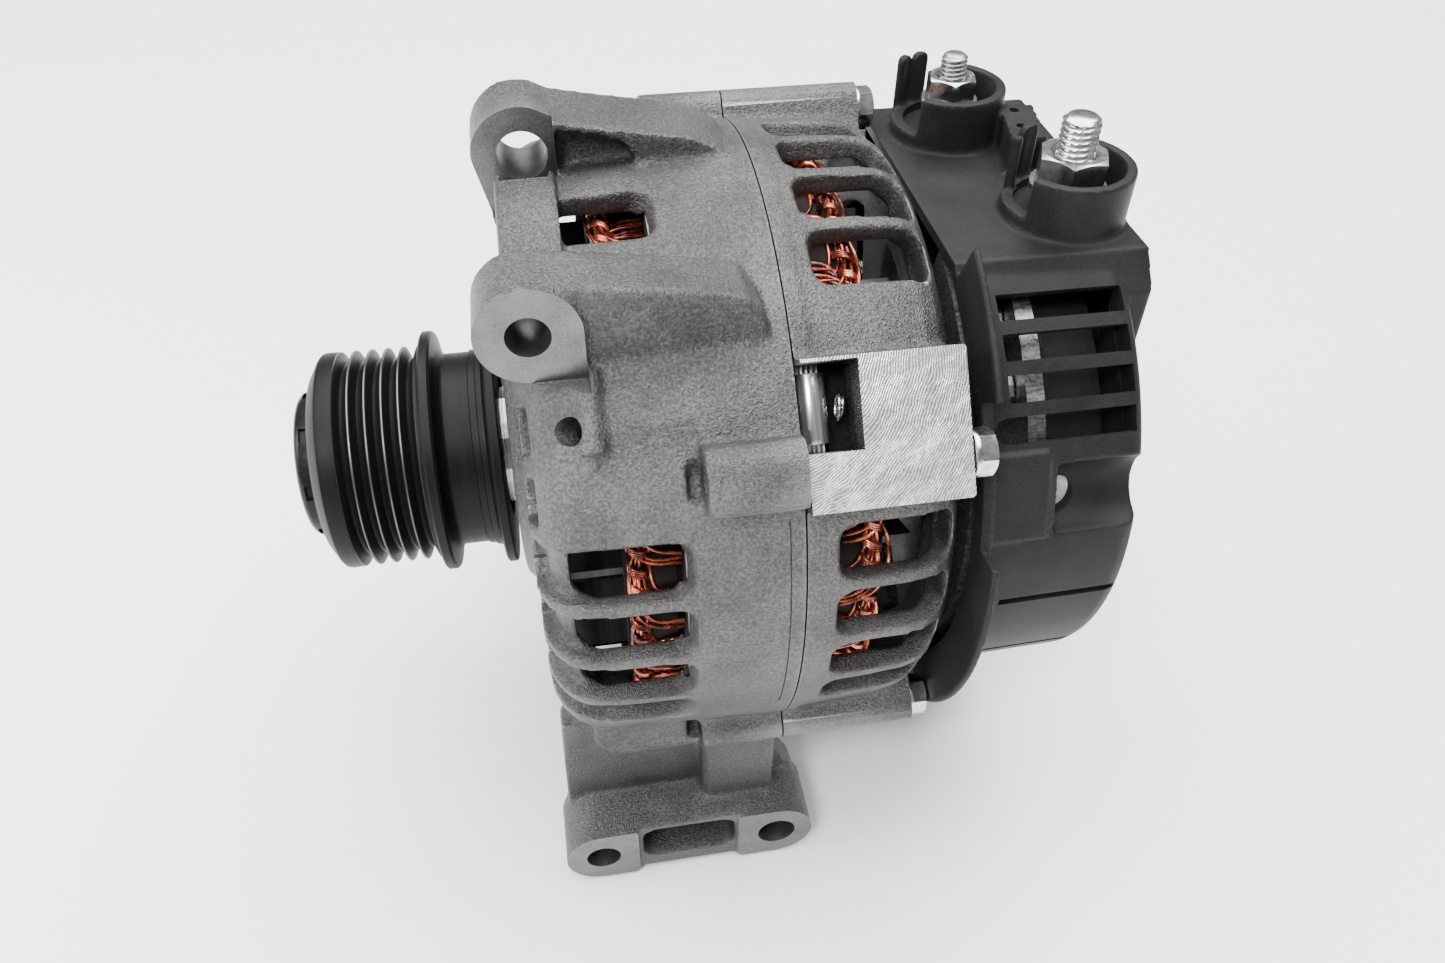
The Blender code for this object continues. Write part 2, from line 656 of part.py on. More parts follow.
def pulley_rim():
    """The grooved ring that the belt drives, with its two flanges."""
    profile = [(-97.4, RIM_BORE), (-97.4, 21.6), (-95.4, 24.5), (-94.4, PULLEY_RADIUS)]
    for i in range(RIB_COUNT):
        x = FIRST_GROOVE_X + RIB_PITCH * i
        profile += [(x - 1.45, PULLEY_RADIUS), (x, GROOVE_RADIUS), (x + 1.45, PULLEY_RADIUS)]
    profile += [(-72.9, 25.4), (-72.5, FLANGE_RADIUS), (-70.0, FLANGE_RADIUS), (-69.2, DRUM_RADIUS),
                (-62.4, DRUM_RADIUS),
                (-62.4, DRUM_RADIUS + 0.5), (-59.2, DRUM_RADIUS + 0.5), (-58.5, FLANGE_RADIUS - 0.2),
                (-56.4, FLANGE_RADIUS - 0.2), (-56.4, RIM_BORE)]
    return finish(turned("pulley_rim", profile, 36), "black_steel")


def pulley_hub():
    hub = turned("pulley_hub", [(-95.4, 7.5), (-95.4, 12.6), (-57.0, 12.6), (-57.0, 7.5)], 24)
    finish(hub, "bearing_steel")
    spacer = [(-56.7, 8.8), (-56.7, 13.6), (-51.5, 13.6), (-51.5, 8.8)]
    finish(turned("spacer_collar", spacer, 24), "bearing_steel")


def one_way_clutch():
    """A ring of wedging rollers in their cage, between the hub and the rim."""
    cage = turned("one_way_clutch", [(-88, 14.2), (-88, 15.9), (-66, 15.9), (-66, 14.2)], 24)
    rollers = [bar("roller", at(0, 15.0, 30 * i)[1:], 1.9, "X", -86, -68, 6) for i in range(12)]
    fuse(cage, gathered("rollers", rollers))
    return finish(cage, "bearing_steel")


def pulley_cap():
    cap = turned(
        "pulley_cap",
        [(-101.6, 0), (-101.6, 15.2), (-100.4, 16.8), (-96.0, 16.8), (-96.0, 14.6), (-99.6, 14.6),
         (-99.6, 0)], 24,
    )
    low, high = (-100.2, -1.6, 15.8), (-98.4, 1.6, 20)
    notches = [face_clock(block("notch", low, high), 22 + 90 * i) for i in range(4)]
    cut(cap, gathered("notches", notches))
    return finish(cap, "black_plastic")


# Rear electrics


def brush_gear():
    """Carbon brushes on springs in a moulded holder above the slip rings, and the regulator."""
    mids = [sum(span) / 2 for span in SLIP_RINGS_X]
    holder = block("brush_holder", (42.8, -6.4, 11.2), (57.2, 6.4, 40.6))
    pockets = [block("pocket", (mid - 2.6, -3.6, 10), (mid + 2.6, 3.6, 39.0)) for mid in mids]
    vents = [block("vent", (mid - 0.8, -1.2, 38), (mid + 0.8, 1.2, 42)) for mid in mids]
    cut(holder, gathered("pockets", pockets))
    cut(holder, gathered("vents", vents))
    finish(holder, "black_plastic")
    for i, mid in enumerate(mids):
        low = SLIP_RING_RADIUS + GAP
        brush = block(f"brush_{i + 1}", (mid - 2.2, -3.2, low), (mid + 2.2, 3.2, 25.0))
        finish(brush, "carbon")
        brush_spring(f"brush_spring_{i + 1}", (mid, 0), 25.3, 38.7)
    regulator = block("voltage_regulator", (43.2, 7.2, 12.0), (57.0, 25.0, 36.0))
    fins = [block("fin", (57.0, 8.6 + 3.4 * i, 13), (61.5, 10.2 + 3.4 * i, 35)) for i in range(5)]
    fuse(regulator, *[grow(fin) for fin in fins])
    finish(regulator, "black_plastic")


def grow(fin):
    """Let a fin start inside its base, so that the two join."""
    fin.data.transform(Matrix.Translation(Vector((-0.5, 0, 0)) * MM))
    return fin


def brush_spring(name, centre, low, high):
    """A coil of square wire, one closed tube along a helix."""
    turns, steps, coil, wire = 5, 8, 1.6, 0.28
    bm = bmesh.new()
    rings = []
    total = turns * steps
    for i in range(total + 1):
        turn = math.tau * i / steps
        z = low + wire + (high - low - 2 * wire) * i / total
        ring = []
        for dr, dz in ((-wire, -wire), (wire, -wire), (wire, wire), (-wire, wire)):
            radius = coil + dr
            point = Vector((centre[0] + radius * math.cos(turn), centre[1] + radius * math.sin(turn), z + dz))
            ring.append(bm.verts.new(point * MM))
        rings.append(ring)
    bm.faces.new(rings[0])
    bm.faces.new(rings[-1])
    for near, far in zip(rings, rings[1:], strict=False):
        for j in range(4):
            k = (j + 1) % 4
            bm.faces.new((near[j], near[k], far[k], far[j]))
    return finish(new_object(name, bm), "bearing_steel")


DIODE_CLOCKS = (-54, -33, -12, 41, 60)


def rectifier():
    """Button diodes between two heat-sink plates, with an insulating terminal plate behind."""
    plates = (
        ("diode_terminal_plate", 53.3, 55.3, 30.0, 54.0, "black_plastic"),
        ("positive_heat_sink", 49.2, 53.0, 27.0, 57.5, "bright_aluminium"),
        ("negative_heat_sink", 37.0, 40.4, 27.0, 57.5, "bright_aluminium"),
    )
    recess_centre = at(0, COVER_RADIUS + 1.5, 19.2)[1:]
    for name, front, rear, inner, outer, look in plates:
        plate = sector(name, [(front, inner), (front, outer), (rear, outer), (rear, inner)], -66, 138, 12)
        screw = at(0, COVER_SCREW_CIRCLE, COVER_SCREWS[0])[1:]
        cut(plate, bar("screw", screw, 2.8, "X", front - 2, rear + 2, 10))
        if name == "positive_heat_sink":
            cut(plate, bar("recess_wall", recess_centre, 10.8, "X", front - 2, rear + 2, 16))
        if name == "diode_terminal_plate":
            end = COVER_REAR_X - 4.5
            wall = [(rear - 1, 50.0), (rear - 1, 52.0), (end, 52.0), (end, 50.0)]
            fuse(plate, sector("wall", wall, 27, 38, 4))
        finish(plate, look)
    for i, clock in enumerate(DIODE_CLOCKS):
        centre = at(0, 46, clock)[1:]
        finish(bar(f"diode_{i + 1}", centre, 6.2, "X", 40.7, 48.9, 16), "zinc_plate")


# Rear cover


def cover_body():
    """The round cap with a flat terminal deck across its top."""
    rear = COVER_REAR_X
    body = turned(
        "rear_cover",
        [(COVER_FRONT_X, 0), (COVER_FRONT_X, COVER_RADIUS), (rear - 3, COVER_RADIUS - 0.6),
         (rear - 0.8, COVER_RADIUS - 1.6),
         (rear, COVER_RADIUS - 3.6), (rear, 0)],
    )
    cut(body, block("top", (COVER_FRONT_X - 2, -70, DECK_Z), (rear + 2, 70, 80)))
    deck = [(-28.5, DECK_Z - 0.01), (-34, 51), (-34, 20), (46, 20), (46, 50), (42, DECK_Z - 0.01)]
    fuse(body, prism("deck", deck, "X", COVER_FRONT_X, rear + 5))
    return body


def cover_cavity():
    rear, wall = COVER_REAR_X, COVER_WALL
    cavity = turned(
        "cavity",
        [(COVER_FRONT_X - 3, 0), (COVER_FRONT_X - 3, COVER_RADIUS - wall), (rear - 4, COVER_RADIUS - wall),
         (rear - wall, COVER_RADIUS - wall - 2), (rear - wall, 0)],
    )
    cut(cavity, block("top", (COVER_FRONT_X - 5, -70, DECK_Z - wall), (rear + 2, 70, 80)))
    deck = [(-27, DECK_Z - wall), (-31.4, 50), (-31.4, 22.6), (43.4, 22.6), (43.4, 50), (40.5, DECK_Z - wall)]
    return fuse(cavity, prism("deck", deck, "X", COVER_FRONT_X - 3, rear + 5 - wall))


def flange():
    """The outer lip against the bracket and the raised baffle beside the upper vents."""
    front = COVER_FRONT_X
    pieces = []
    for outer, start, sweep, steps, depth in LIP_PARTS:
        end = front + depth
        profile = [(front, 60), (front, outer - 0.6), (front + 0.6, outer), (end, outer), (end, 60)]
        pieces.append(sector("lip", profile, start, sweep, steps))
    return pieces


def tower(place, radius, slot_turn):
    x, y = place
    rim = TOWER_RIM_Z
    outside = bar("tower", place, radius, "Z", DECK_Z - 1.5, rim, 20)
    slot = block("slot", (-radius - 3, -4.2, DECK_Z + 1.5), (-radius + 5, 4.2, rim + 2))
    turn = Matrix.Rotation(math.radians(slot_turn), 4, "Z")
    slot.data.transform(Matrix.Translation(Vector((x, y, 0)) * MM) @ turn)
    cut(outside, slot)
    return outside


def rear_cover():
    cover = cover_body()
    fuse(cover, *flange())
    fuse(cover, tower(BATTERY_STUD, 12.6, 20), tower(SIGNAL_STUD, 12.0, -10))
    plug = [(59.2, 5.4), (67.4, 5.0), (70.2, 21.6), (62.4, 22.6)]
    fuse(cover, prism("plug", plug, "Z", DECK_Z - 1, 66.0))
    recess_centre = at(0, COVER_RADIUS + 1.5, 19.2)[1:]
    hollow = cover_cavity()
    cut(hollow, bar("recess_wall", recess_centre, 10.4, "X", 50.6, 80, 16))
    cut(cover, hollow)
    tools = [bar("recess", recess_centre, 8.0, "X", 52.4, 80, 16)]
    for i in range(4):
        start = 40.8 if i == 0 else 43.4
        outline = rounded_rectangle((start, -2.6), (COVER_REAR_X - 3.6, 2.6), 1.2)
        tools.append(face_clock(prism("vent", outline, "Z", 58, 70), 33.0 + 7.35 * i))
    for clock in (-4.0, -28.0):
        low, high = (43, -1.0, COVER_RADIUS - 1.4), (COVER_REAR_X + 2, 1.0, 70)
        tools.append(face_clock(block("groove", low, high), clock))
    cut(cover, gathered("openings", tools))
    for place, radius, stud in ((BATTERY_STUD, 10.2, 4.4), (SIGNAL_STUD, 9.6, 3.5)):
        cut(cover, bar("cup", place, radius, "Z", DECK_Z + 1.5, 80, 20))
        cut(cover, bar("stud_hole", place, stud, "Z", 40, 70, 12))
    slot = [(60, 15), (80, 15), (80, 38), (60, 38)]
    louvres = [sector("louvre", slot, 20 + 24 * i, 9, 1) for i in range(15) if i not in (2, 3, 4)]
    cut(cover, gathered("louvres", louvres))
    centres = [at(0, COVER_SCREW_CIRCLE, clock)[1:] for clock in COVER_SCREWS]
    screws = [bar("screw", centre, 2.8, "X", 60, 80, 10) for centre in centres]
    cut(cover, gathered("screws", screws))
    pins = [bar("pin_hole", centre, 1.1, "Z", 60, 70, 8) for centre in ((64.9, 19.2), (63.6, 11.4))]
    cut(cover, gathered("pins", pins))
    return finish(cover, "black_plastic")


MOVING_PIECES = {
    "rotor_axis": (
        (0, 0, 0),
        ("rotor_shaft", "front_claw_pole", "rear_claw_pole", "field_coil", "coil_spool", "front_fan",
         "rear_fan",
         "slip_ring_front", "slip_ring_rear", "slip_ring_sleeve", "front_bearing_inner_race",
         "rear_bearing_inner_race", "spacer_collar", "pulley_hub", "one_way_clutch"),
    ),
    "pulley_axis": ((-80.0, 0, 0), ("pulley_rim", "pulley_cap")),
    "front_cage_axis": ((-44.7, 0, 0), ("front_bearing_balls",)),
    "rear_cage_axis": ((26.75, 0, 0), ("rear_bearing_balls",)),
    "front_brush_guide": ((46.5, 0, 0), ("brush_1",)),
    "rear_brush_guide": ((53.5, 0, 0), ("brush_2",)),
}


def hang_on_axes():
    """Parent each moving group to an empty that stands on its joint's axis."""
    for name, (place, nodes) in MOVING_PIECES.items():
        axis = bpy.data.objects.new(name, None)
        axis.location = Vector(place) * MM
        bpy.context.scene.collection.objects.link(axis)
        for node in nodes:
            piece = bpy.data.objects[node]
            piece.parent = axis
            piece.location = -axis.location
    bpy.data.objects["pulley_axis"].parent = bpy.data.objects["rotor_axis"]


def build():
    clear_scene()
    drive_end_bracket()
    slip_ring_end_bracket()
    stator_core()
    stator_winding()
    rotor_shaft()
    rotor_poles()
    field_coil()
    fan("front_fan", -30.2, -44.8, 9)
    fan("rear_fan", 13.2, 27.6, 11)
    slip_rings()
    bearing("front", FRONT_BEARING, 8)
    bearing("rear", REAR_BEARING, 8)
    bearing_retainer()
    through_bolts()
    pulley_rim()
    pulley_hub()
    one_way_clutch()
    pulley_cap()
    brush_gear()
    rectifier()
    terminal("battery", BATTERY_STUD, 3.9, 79.3, 13.0, 65.0, 71.8)
    terminal("signal", SIGNAL_STUD, 2.9, 76.4, 10.0, 66.4, 71.6)
    cover_screws()
    rear_cover()
    hang_on_axes()


build()
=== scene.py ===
"""Looks of a car alternator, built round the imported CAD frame.

The frame is the row's own: +X along the shaft from the pulley to the rear cover, +Z up and -Y
towards the engine. Lengths are millimetres until a mesh is made. A clock angle is measured about
the shaft from -Y towards +Z.
"""

import math
import random

import bmesh
import bpy
import numpy as np
from mathutils import Matrix, Vector


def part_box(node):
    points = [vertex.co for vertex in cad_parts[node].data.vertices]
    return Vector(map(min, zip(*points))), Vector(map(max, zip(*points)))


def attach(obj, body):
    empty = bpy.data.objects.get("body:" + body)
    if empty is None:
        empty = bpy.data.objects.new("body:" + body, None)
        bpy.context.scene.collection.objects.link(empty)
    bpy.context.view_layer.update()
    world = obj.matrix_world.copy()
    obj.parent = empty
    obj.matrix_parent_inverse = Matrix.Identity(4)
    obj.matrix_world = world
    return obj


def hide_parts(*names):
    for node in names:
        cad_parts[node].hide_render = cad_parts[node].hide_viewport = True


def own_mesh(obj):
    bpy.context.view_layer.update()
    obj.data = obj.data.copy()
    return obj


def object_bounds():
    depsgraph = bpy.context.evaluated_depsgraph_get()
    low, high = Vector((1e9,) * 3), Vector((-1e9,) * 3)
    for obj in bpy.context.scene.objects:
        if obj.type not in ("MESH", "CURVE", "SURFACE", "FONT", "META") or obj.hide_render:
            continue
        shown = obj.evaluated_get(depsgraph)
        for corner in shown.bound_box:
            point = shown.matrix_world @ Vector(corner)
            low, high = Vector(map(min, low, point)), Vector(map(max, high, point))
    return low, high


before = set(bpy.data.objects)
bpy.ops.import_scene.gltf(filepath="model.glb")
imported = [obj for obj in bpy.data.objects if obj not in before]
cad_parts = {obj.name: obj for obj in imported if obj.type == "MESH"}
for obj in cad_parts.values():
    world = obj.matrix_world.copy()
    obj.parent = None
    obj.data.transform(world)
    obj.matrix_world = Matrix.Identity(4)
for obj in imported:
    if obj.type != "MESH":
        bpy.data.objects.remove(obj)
cad_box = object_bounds()

MM = 0.001
SEED = 7
STEPS = 160
PLANE_SLACK = 0.08
BORE_SLACK = 0.25

# Housing
SPLIT_RADIUS = 70.4
SPLIT_FACE_X = 0.18
SHELL_BORE = 65.8
SHELL_BORE_ENDS = 64.3
BOLT_CIRCLE = 71.0
BOLT_ANGLES = (31.5, 119.0, 211.0, -41.0)
PAD_ANGLE = 36.5
PAD_HEIGHT = 74.0
WINDOW_ANGLE = 40.5
# Groups of vents: the first one's clock angle, how many, and the step between them
FRONT_VENTS = ((16.6, 4, -12.45), (76.5, 1, 13.33), (132.0, 5, 13.33), (226.0, 5, 13.33))
REAR_VENTS = ((16.5, 4, -12.5), (64.9, 4, 12.5), (132.0, 6, 12.5), (224.0, 5, 12.5))
UPPER_EAR = (-44.9, 71.8)
UPPER_EAR_RADIUS = 10.0
UPPER_EAR_BORE = 5.1
UPPER_FACE_Y = 1.5
LOWER_EAR = (-47.0, 61.0)
LOWER_EAR_RADIUS = 9.7
LOWER_EAR_BORE = 4.1
LOWER_FACE_Y = -45.0
LOWER_FACE_Z = 51.3
FOOT_RADIUS = 9.1
FOOT_FACE_Y = -64.0
FOOT_BORE_Z = -82.4
# Each bore's x and radius
FOOT_BORES = ((-44.3, 4.2), (-0.7, 4.7))
CASTING_VOXEL = 0.7
CASTING_ROUNDS = 5

# Rear cover
COVER_FRONT_X = 36.2
COVER_REAR_X = 72.0
COVER_RADIUS = 63.6
COVER_WALL = 2.6
DECK_Z = 58.0
BATTERY_STUD = (64.5, -13.0)
SIGNAL_STUD = (52.2, 27.2)
TOWER_RIM_Z = 69.8
COVER_SCREWS = (21.0, 165.0, 237.0)
COVER_SCREW_CIRCLE = 46.0
COVER_VENT = 5.4
SIGHT_ANGLE = 18.2

# Stator
STATOR_SLOTS = 24
SLOT_ANGLE = 360 // STATOR_SLOTS
WIRE_RADIUS = 0.43
KEY_X = 3.25

# Brush springs
SPRING_LOW_Z = 25.3
SPRING_HIGH_Z = 38.7
SPRING_WIRE = 0.26
SPRING_COIL = 1.58

# Pulley
GROOVES = 5
GROOVE_PITCH = 3.56
FIRST_GROOVE_X = -89.68
RIB_RADIUS = 25.05

# Surroundings
FLOOR_DROP = 0.0012
SKY_STRENGTH = 0.34
# Name, place and size in metres, and watts
LAMPS = (
    ("overhead", (0.1, 0.30, 1.5), 2.0, 125.0),
    ("key", (-0.40, -0.60, 0.80), 0.25, 11.0),
    ("strip", (-0.85, 0.05, 0.30), 0.35, 7.0),
)
CAMERA_AT = (-42.5, -207.8, 174.4)
CAMERA_TURN, CAMERA_TILT, CAMERA_ROLL = -10.48, 47.4, 0.85


# Shapes, in millimetres


def at(x, radius, clock):
    turn = math.radians(clock)
    return Vector((x, -radius * math.cos(turn), radius * math.sin(turn)))


def polar(centre, radius, degrees):
    turn = math.radians(degrees)
    return (centre[0] + radius * math.cos(turn), centre[1] + radius * math.sin(turn))


def arc(centre, radius, start, end, steps):
    return [polar(centre, radius, start + (end - start) * i / steps) for i in range(steps + 1)]


def rectangle(low, high):
    return [low, (high[0], low[1]), high, (low[0], high[1])]


def rounded_rectangle(low, high, radius):
    corners = (
        (high[0] - radius, high[1] - radius, 0),
        (low[0] + radius, high[1] - radius, 90),
        (low[0] + radius, low[1] + radius, 180),
        (high[0] - radius, low[1] + radius, 270),
    )
    outline = []
    for x, y, start in corners:
        outline += arc((x, y), radius, start, start + 90, 6)
    return outline


def shifted(x, y, z):
    return Matrix.Translation(Vector((x, y, z)) * MM)


def spun(degrees, axis):
    return Matrix.Rotation(math.radians(degrees), 4, axis)


def linked(name, data):
    made = bpy.data.objects.new(name, data)
    bpy.context.scene.collection.objects.link(made)
    return made


def meshed(name, verts, faces):
    mesh = bpy.data.meshes.new(name)
    mesh.from_pydata(verts, [], faces)
    return linked(name, mesh)


def ring_faces(base, rings, sides):
    """Faces between rings of points that follow one another, with both ends closed."""
    faces = []
    for k in range(rings - 1):
        for j in range(sides):
            a, b = base + k * sides + j, base + k * sides + (j + 1) % sides
            faces.append((a, b, b + sides, a + sides))
    faces.append(tuple(base + j for j in reversed(range(sides))))
    faces.append(tuple(base + (rings - 1) * sides + j for j in range(sides)))
    return faces


def new_object(name, bm):
    bmesh.ops.remove_doubles(bm, verts=bm.verts, dist=1e-6)
    bmesh.ops.recalc_face_normals(bm, faces=bm.faces)
    mesh = bpy.data.meshes.new(name)
    bm.to_mesh(mesh)
    bm.free()
    return linked(name, mesh)


def turned(name, profile, steps=STEPS):
    """A solid of revolution about the shaft from (x, radius) points."""
    bm = bmesh.new()
    verts = [bm.verts.new(at(x, r, 0) * MM) for x, r in profile]
    edges = [
        bm.edges.new((verts[i - 1], verts[i]))
        for i in range(len(verts))
        if profile[i][1] > 0 or profile[i - 1][1] > 0
    ]
    bmesh.ops.spin(bm, geom=verts + edges, axis=(1, 0, 0), cent=(0, 0, 0), angle=math.tau, steps=steps)
    return new_object(name, bm)


def sector(name, profile, start, sweep, steps):
    """Part of a solid of revolution, from the clock angle start."""
    bm = bmesh.new()
    face = bm.faces.new([bm.verts.new(at(x, r, start) * MM) for x, r in profile])
    geometry = list(face.verts) + list(face.edges) + [face]
    bmesh.ops.spin(
        bm, geom=geometry, axis=(1, 0, 0), cent=(0, 0, 0), angle=-math.radians(sweep), steps=steps
    )
    return new_object(name, bm)


def prism(name, outline, axis, low, high):
    """An outline in the other two axes, drawn out along one axis."""
    point = {
        "X": lambda u, v, depth: (depth, u, v),
        "Y": lambda u, v, depth: (u, depth, v),
        "Z": lambda u, v, depth: (u, v, depth),
    }[axis]
    bm = bmesh.new()
    base = bm.faces.new([bm.verts.new(Vector(point(u, v, low)) * MM) for u, v in outline])
    made = bmesh.ops.extrude_face_region(bm, geom=[base])["geom"]
    top = [item for item in made if isinstance(item, bmesh.types.BMVert)]
    bmesh.ops.translate(bm, verts=top, vec=Vector(point(0, 0, high - low)) * MM)
    return new_object(name, bm)


def loft(name, near, far, low, high):
    """A solid between an outline at height low and one of as many points at height high."""
    bm = bmesh.new()
    bottom = [bm.verts.new((u * MM, v * MM, low * MM)) for u, v in near]
    top = [bm.verts.new((u * MM, v * MM, high * MM)) for u, v in far]
    bm.faces.new(list(reversed(bottom)))
    bm.faces.new(top)
    for i in range(len(near)):
        bm.faces.new((bottom[i - 1], bottom[i], top[i], top[i - 1]))
    return new_object(name, bm)


def stacked(name, centre, levels, sides):
    """A solid round an upright line through circles given as (height, radius)."""
    verts = []
    for z, radius in levels:
        points = [polar(centre, radius, 360 / sides * k) for k in range(sides)]
        verts += [(x * MM, y * MM, z * MM) for x, y in points]
    return meshed(name, verts, ring_faces(0, len(levels), sides))


def bar(name, centre, radius, axis, low, high, steps=48):
    return prism(name, arc(centre, radius, 0, 360 - 360 / steps, steps - 1), axis, low, high)


def block(name, low, high):
    return prism(name, rectangle(low[1:], high[1:]), "X", low[0], high[0])


def face_clock(thing, clock):
    """Turn a piece made about +Z so that it points to a clock angle."""
    thing.data.transform(spun(90 - clock, "X"))
    return thing


def gathered(name, pieces):
    """Join separate pieces into one mesh without merging their volumes."""
    bm = bmesh.new()
    for piece in pieces:
        bm.from_mesh(piece.data)
        bpy.data.objects.remove(piece, do_unlink=True)
    return new_object(name, bm)


def modify(thing, kind, **settings):
    """Add one modifier to a piece and bake it into the mesh."""
    change = thing.modifiers.new(kind, kind)
    for name, value in settings.items():
        setattr(change, name, value)
    graph = bpy.context.evaluated_depsgraph_get()
    mesh = bpy.data.meshes.new_from_object(thing.evaluated_get(graph))
    thing.modifiers.clear()
    thing.data = mesh
    return thing


def combine(target, tools, operation):
    for tool in tools:
        modify(target, "BOOLEAN", operation=operation, solver="MANIFOLD", object=tool)
        bpy.data.objects.remove(tool, do_unlink=True)
    return target


def fuse(target, *tools):
    return combine(target, tools, "UNION")


def cut(target, *tools):
    return combine(target, tools, "DIFFERENCE")


def soften(thing, voxel, rounds, triangles):
    """Give a sharp solid the rounded corners and fillets of a casting, in about so many triangles."""
    modify(thing, "REMESH", mode="VOXEL", voxel_size=voxel * MM)
    modify(thing, "SMOOTH", factor=0.5, iterations=rounds)
    return modify(thing, "DECIMATE", ratio=min(1.0, triangles / 2 / len(thing.data.polygons)))


def smooth(thing, degrees=32):
    thing.data.shade_smooth()
    thing.data.set_sharp_from_angle(angle=math.radians(degrees))
    return thing


def weighted(thing, degrees):
    """Smooth, with wide flat faces that keep their own shade beside narrow rounded ones."""
    return modify(smooth(thing, degrees), "WEIGHTED_NORMAL", keep_sharp=True)


def rounded(thing, width, degrees=28):
    """Round a crisp piece's edges."""
    limit = {"limit_method": "ANGLE", "angle_limit": math.radians(degrees)}
    return modify(thing, "BEVEL", width=width * MM, segments=2, **limit)


def tubes(name, paths, radius, sides):
    """Round wires along lists of points, all in one mesh."""
    athwart = (0.31, 0.52, 0.79)  # a direction that no wire takes
    turns = [math.tau * j / sides for j in range(sides)]
    verts, faces = [], []
    for path in paths:
        points = np.array(path, dtype=float) * MM
        heading = np.gradient(points, axis=0)
        heading /= np.linalg.norm(heading, axis=1)[:, None]
        side = np.cross(heading, athwart)
        side /= np.linalg.norm(side, axis=1)[:, None]
        other = np.cross(heading, side)
        faces += ring_faces(len(verts), len(points), sides)
        for k in range(len(points)):
            rim = [math.cos(t) * side[k] + math.sin(t) * other[k] for t in turns]
            verts += [tuple(points[k] + radius * MM * out) for out in rim]
    made = meshed(name, verts, faces)
    made.data.shade_smooth()
    return made


# Materials


class Shader:
    """A Principled material with short calls for the nodes that feed it."""

    def __init__(self, name, colour, roughness, metallic=0.0, **sockets):
        self.material = bpy.data.materials.new(name)
        self.material.use_nodes = True
        self.tree = self.material.node_tree
        self.main = self.tree.nodes["Principled BSDF"]
        self.main.inputs["Base Color"].default_value = (*colour, 1.0)
        self.main.inputs["Roughness"].default_value = roughness
        self.main.inputs["Metallic"].default_value = metallic
        for socket, value in sockets.items():
            self.main.inputs[socket.replace("_", " ")].default_value = value
        self.position = self.tree.nodes.new("ShaderNodeTexCoord").outputs["Object"]

    def feed(self, target, value):
        """Link another node's output to an input, or set the input to a plain value."""
        if isinstance(value, bpy.types.NodeSocket):
            self.tree.links.new(value, target)
        else:
            target.default_value = value

    def node(self, kind, **inputs):
        made = self.tree.nodes.new(kind)
        for socket, value in inputs.items():
            self.feed(made.inputs[socket.replace("_", " ")], value)
        return made

    def noise(self, per_metre, detail=3.0, roughness=0.55, position=None):
        where = position or self.position
        sizes = {"Scale": per_metre, "Detail": detail, "Roughness": roughness}
        return self.node("ShaderNodeTexNoise", Vector=where, **sizes).outputs["Fac"]

    def stretched(self, scale):
        made = self.node("ShaderNodeMapping", Vector=self.position)
        made.inputs["Scale"].default_value = scale
        return made.outputs["Vector"]

    def ramp(self, value, *stops):
        """Colours, or greys from single numbers, at places from 0 to 1."""
        made = self.node("ShaderNodeValToRGB", Fac=value)
        line = made.color_ramp
        while len(line.elements) < len(stops):
            line.elements.new(0.5)
        for element, (position, shade) in zip(line.elements, stops, strict=True):
            element.position = position
            element.color = (*shade, 1.0) if isinstance(shade, tuple) else (shade, shade, shade, 1.0)
        return made.outputs["Color"]

    def mix(self, first, second, share):
        """Two values mixed, with the second's share."""
        made = self.tree.nodes.new("ShaderNodeMix")
        made.data_type = "FLOAT"
        made.inputs["Factor"].default_value = share
        self.tree.links.new(first, made.inputs["A"])
        self.tree.links.new(second, made.inputs["B"])
        return made.outputs["Result"]

    def blend(self, first, second, share):
        """Two colours mixed, through the Mix node's sockets for colours."""
        made = self.tree.nodes.new("ShaderNodeMix")
        made.data_type = "RGBA"
        for place, value in ((0, share), (6, first), (7, second)):
            self.feed(made.inputs[place], value)
        return made.outputs[2]

    def colour(self, value):
        self.tree.links.new(value, self.main.inputs["Base Color"])

    def rough(self, value, low, high):
        made = self.node("ShaderNodeMapRange", Value=value, To_Min=low, To_Max=high)
        self.tree.links.new(made.outputs["Result"], self.main.inputs["Roughness"])

    def relief(self, height, depth, strength=1.0):
        made = self.node("ShaderNodeBump", Height=height, Strength=strength, Distance=depth * MM)
        self.tree.links.new(made.outputs["Normal"], self.main.inputs["Normal"])

    def edges(self, low, high):
        """How far a point lies on an outer edge, from 0 to 1, by its pointiness; the edges it finds are
        brightened as real rubbed wear and as a painted highlight.
        """
        point = self.tree.nodes.new("ShaderNodeNewGeometry").outputs["Pointiness"]
        return self.ramp(point, (low, 0.0), (high, 1.0))


def cast_aluminium():
    made = Shader("cast_aluminium", (0.2, 0.2, 0.2), 0.42, 0.95)
    grain, fine, blotch = made.noise(1700, 3), made.noise(3400, 2), made.noise(70, 4)
    dark, middle, light = (0.066, 0.066, 0.065), (0.100, 0.099, 0.097), (0.155, 0.153, 0.150)
    tone = made.ramp(made.mix(grain, blotch, 0.35), (0.38, dark), (0.5, middle), (0.62, light))
    height = made.node("ShaderNodeSeparateXYZ", Vector=made.position).outputs["Z"]
    above_foot = made.node("ShaderNodeMapRange", Value=height, From_Min=-70 * MM, From_Max=-63 * MM)
    # Outer edges above the foot are brightened towards a pale grey: partly real rubbed wear, partly a painted
    # highlight where the edges catch the light.
    black, bright = (0, 0, 0, 1), (0.46, 0.455, 0.445, 1)
    worn = made.blend(black, made.edges(0.545, 0.64), above_foot.outputs["Result"])
    made.colour(made.blend(tone, bright, worn))
    made.rough(fine, 0.32, 0.54)
    made.relief(made.mix(grain, fine, 0.4), 0.55)
    return made.material


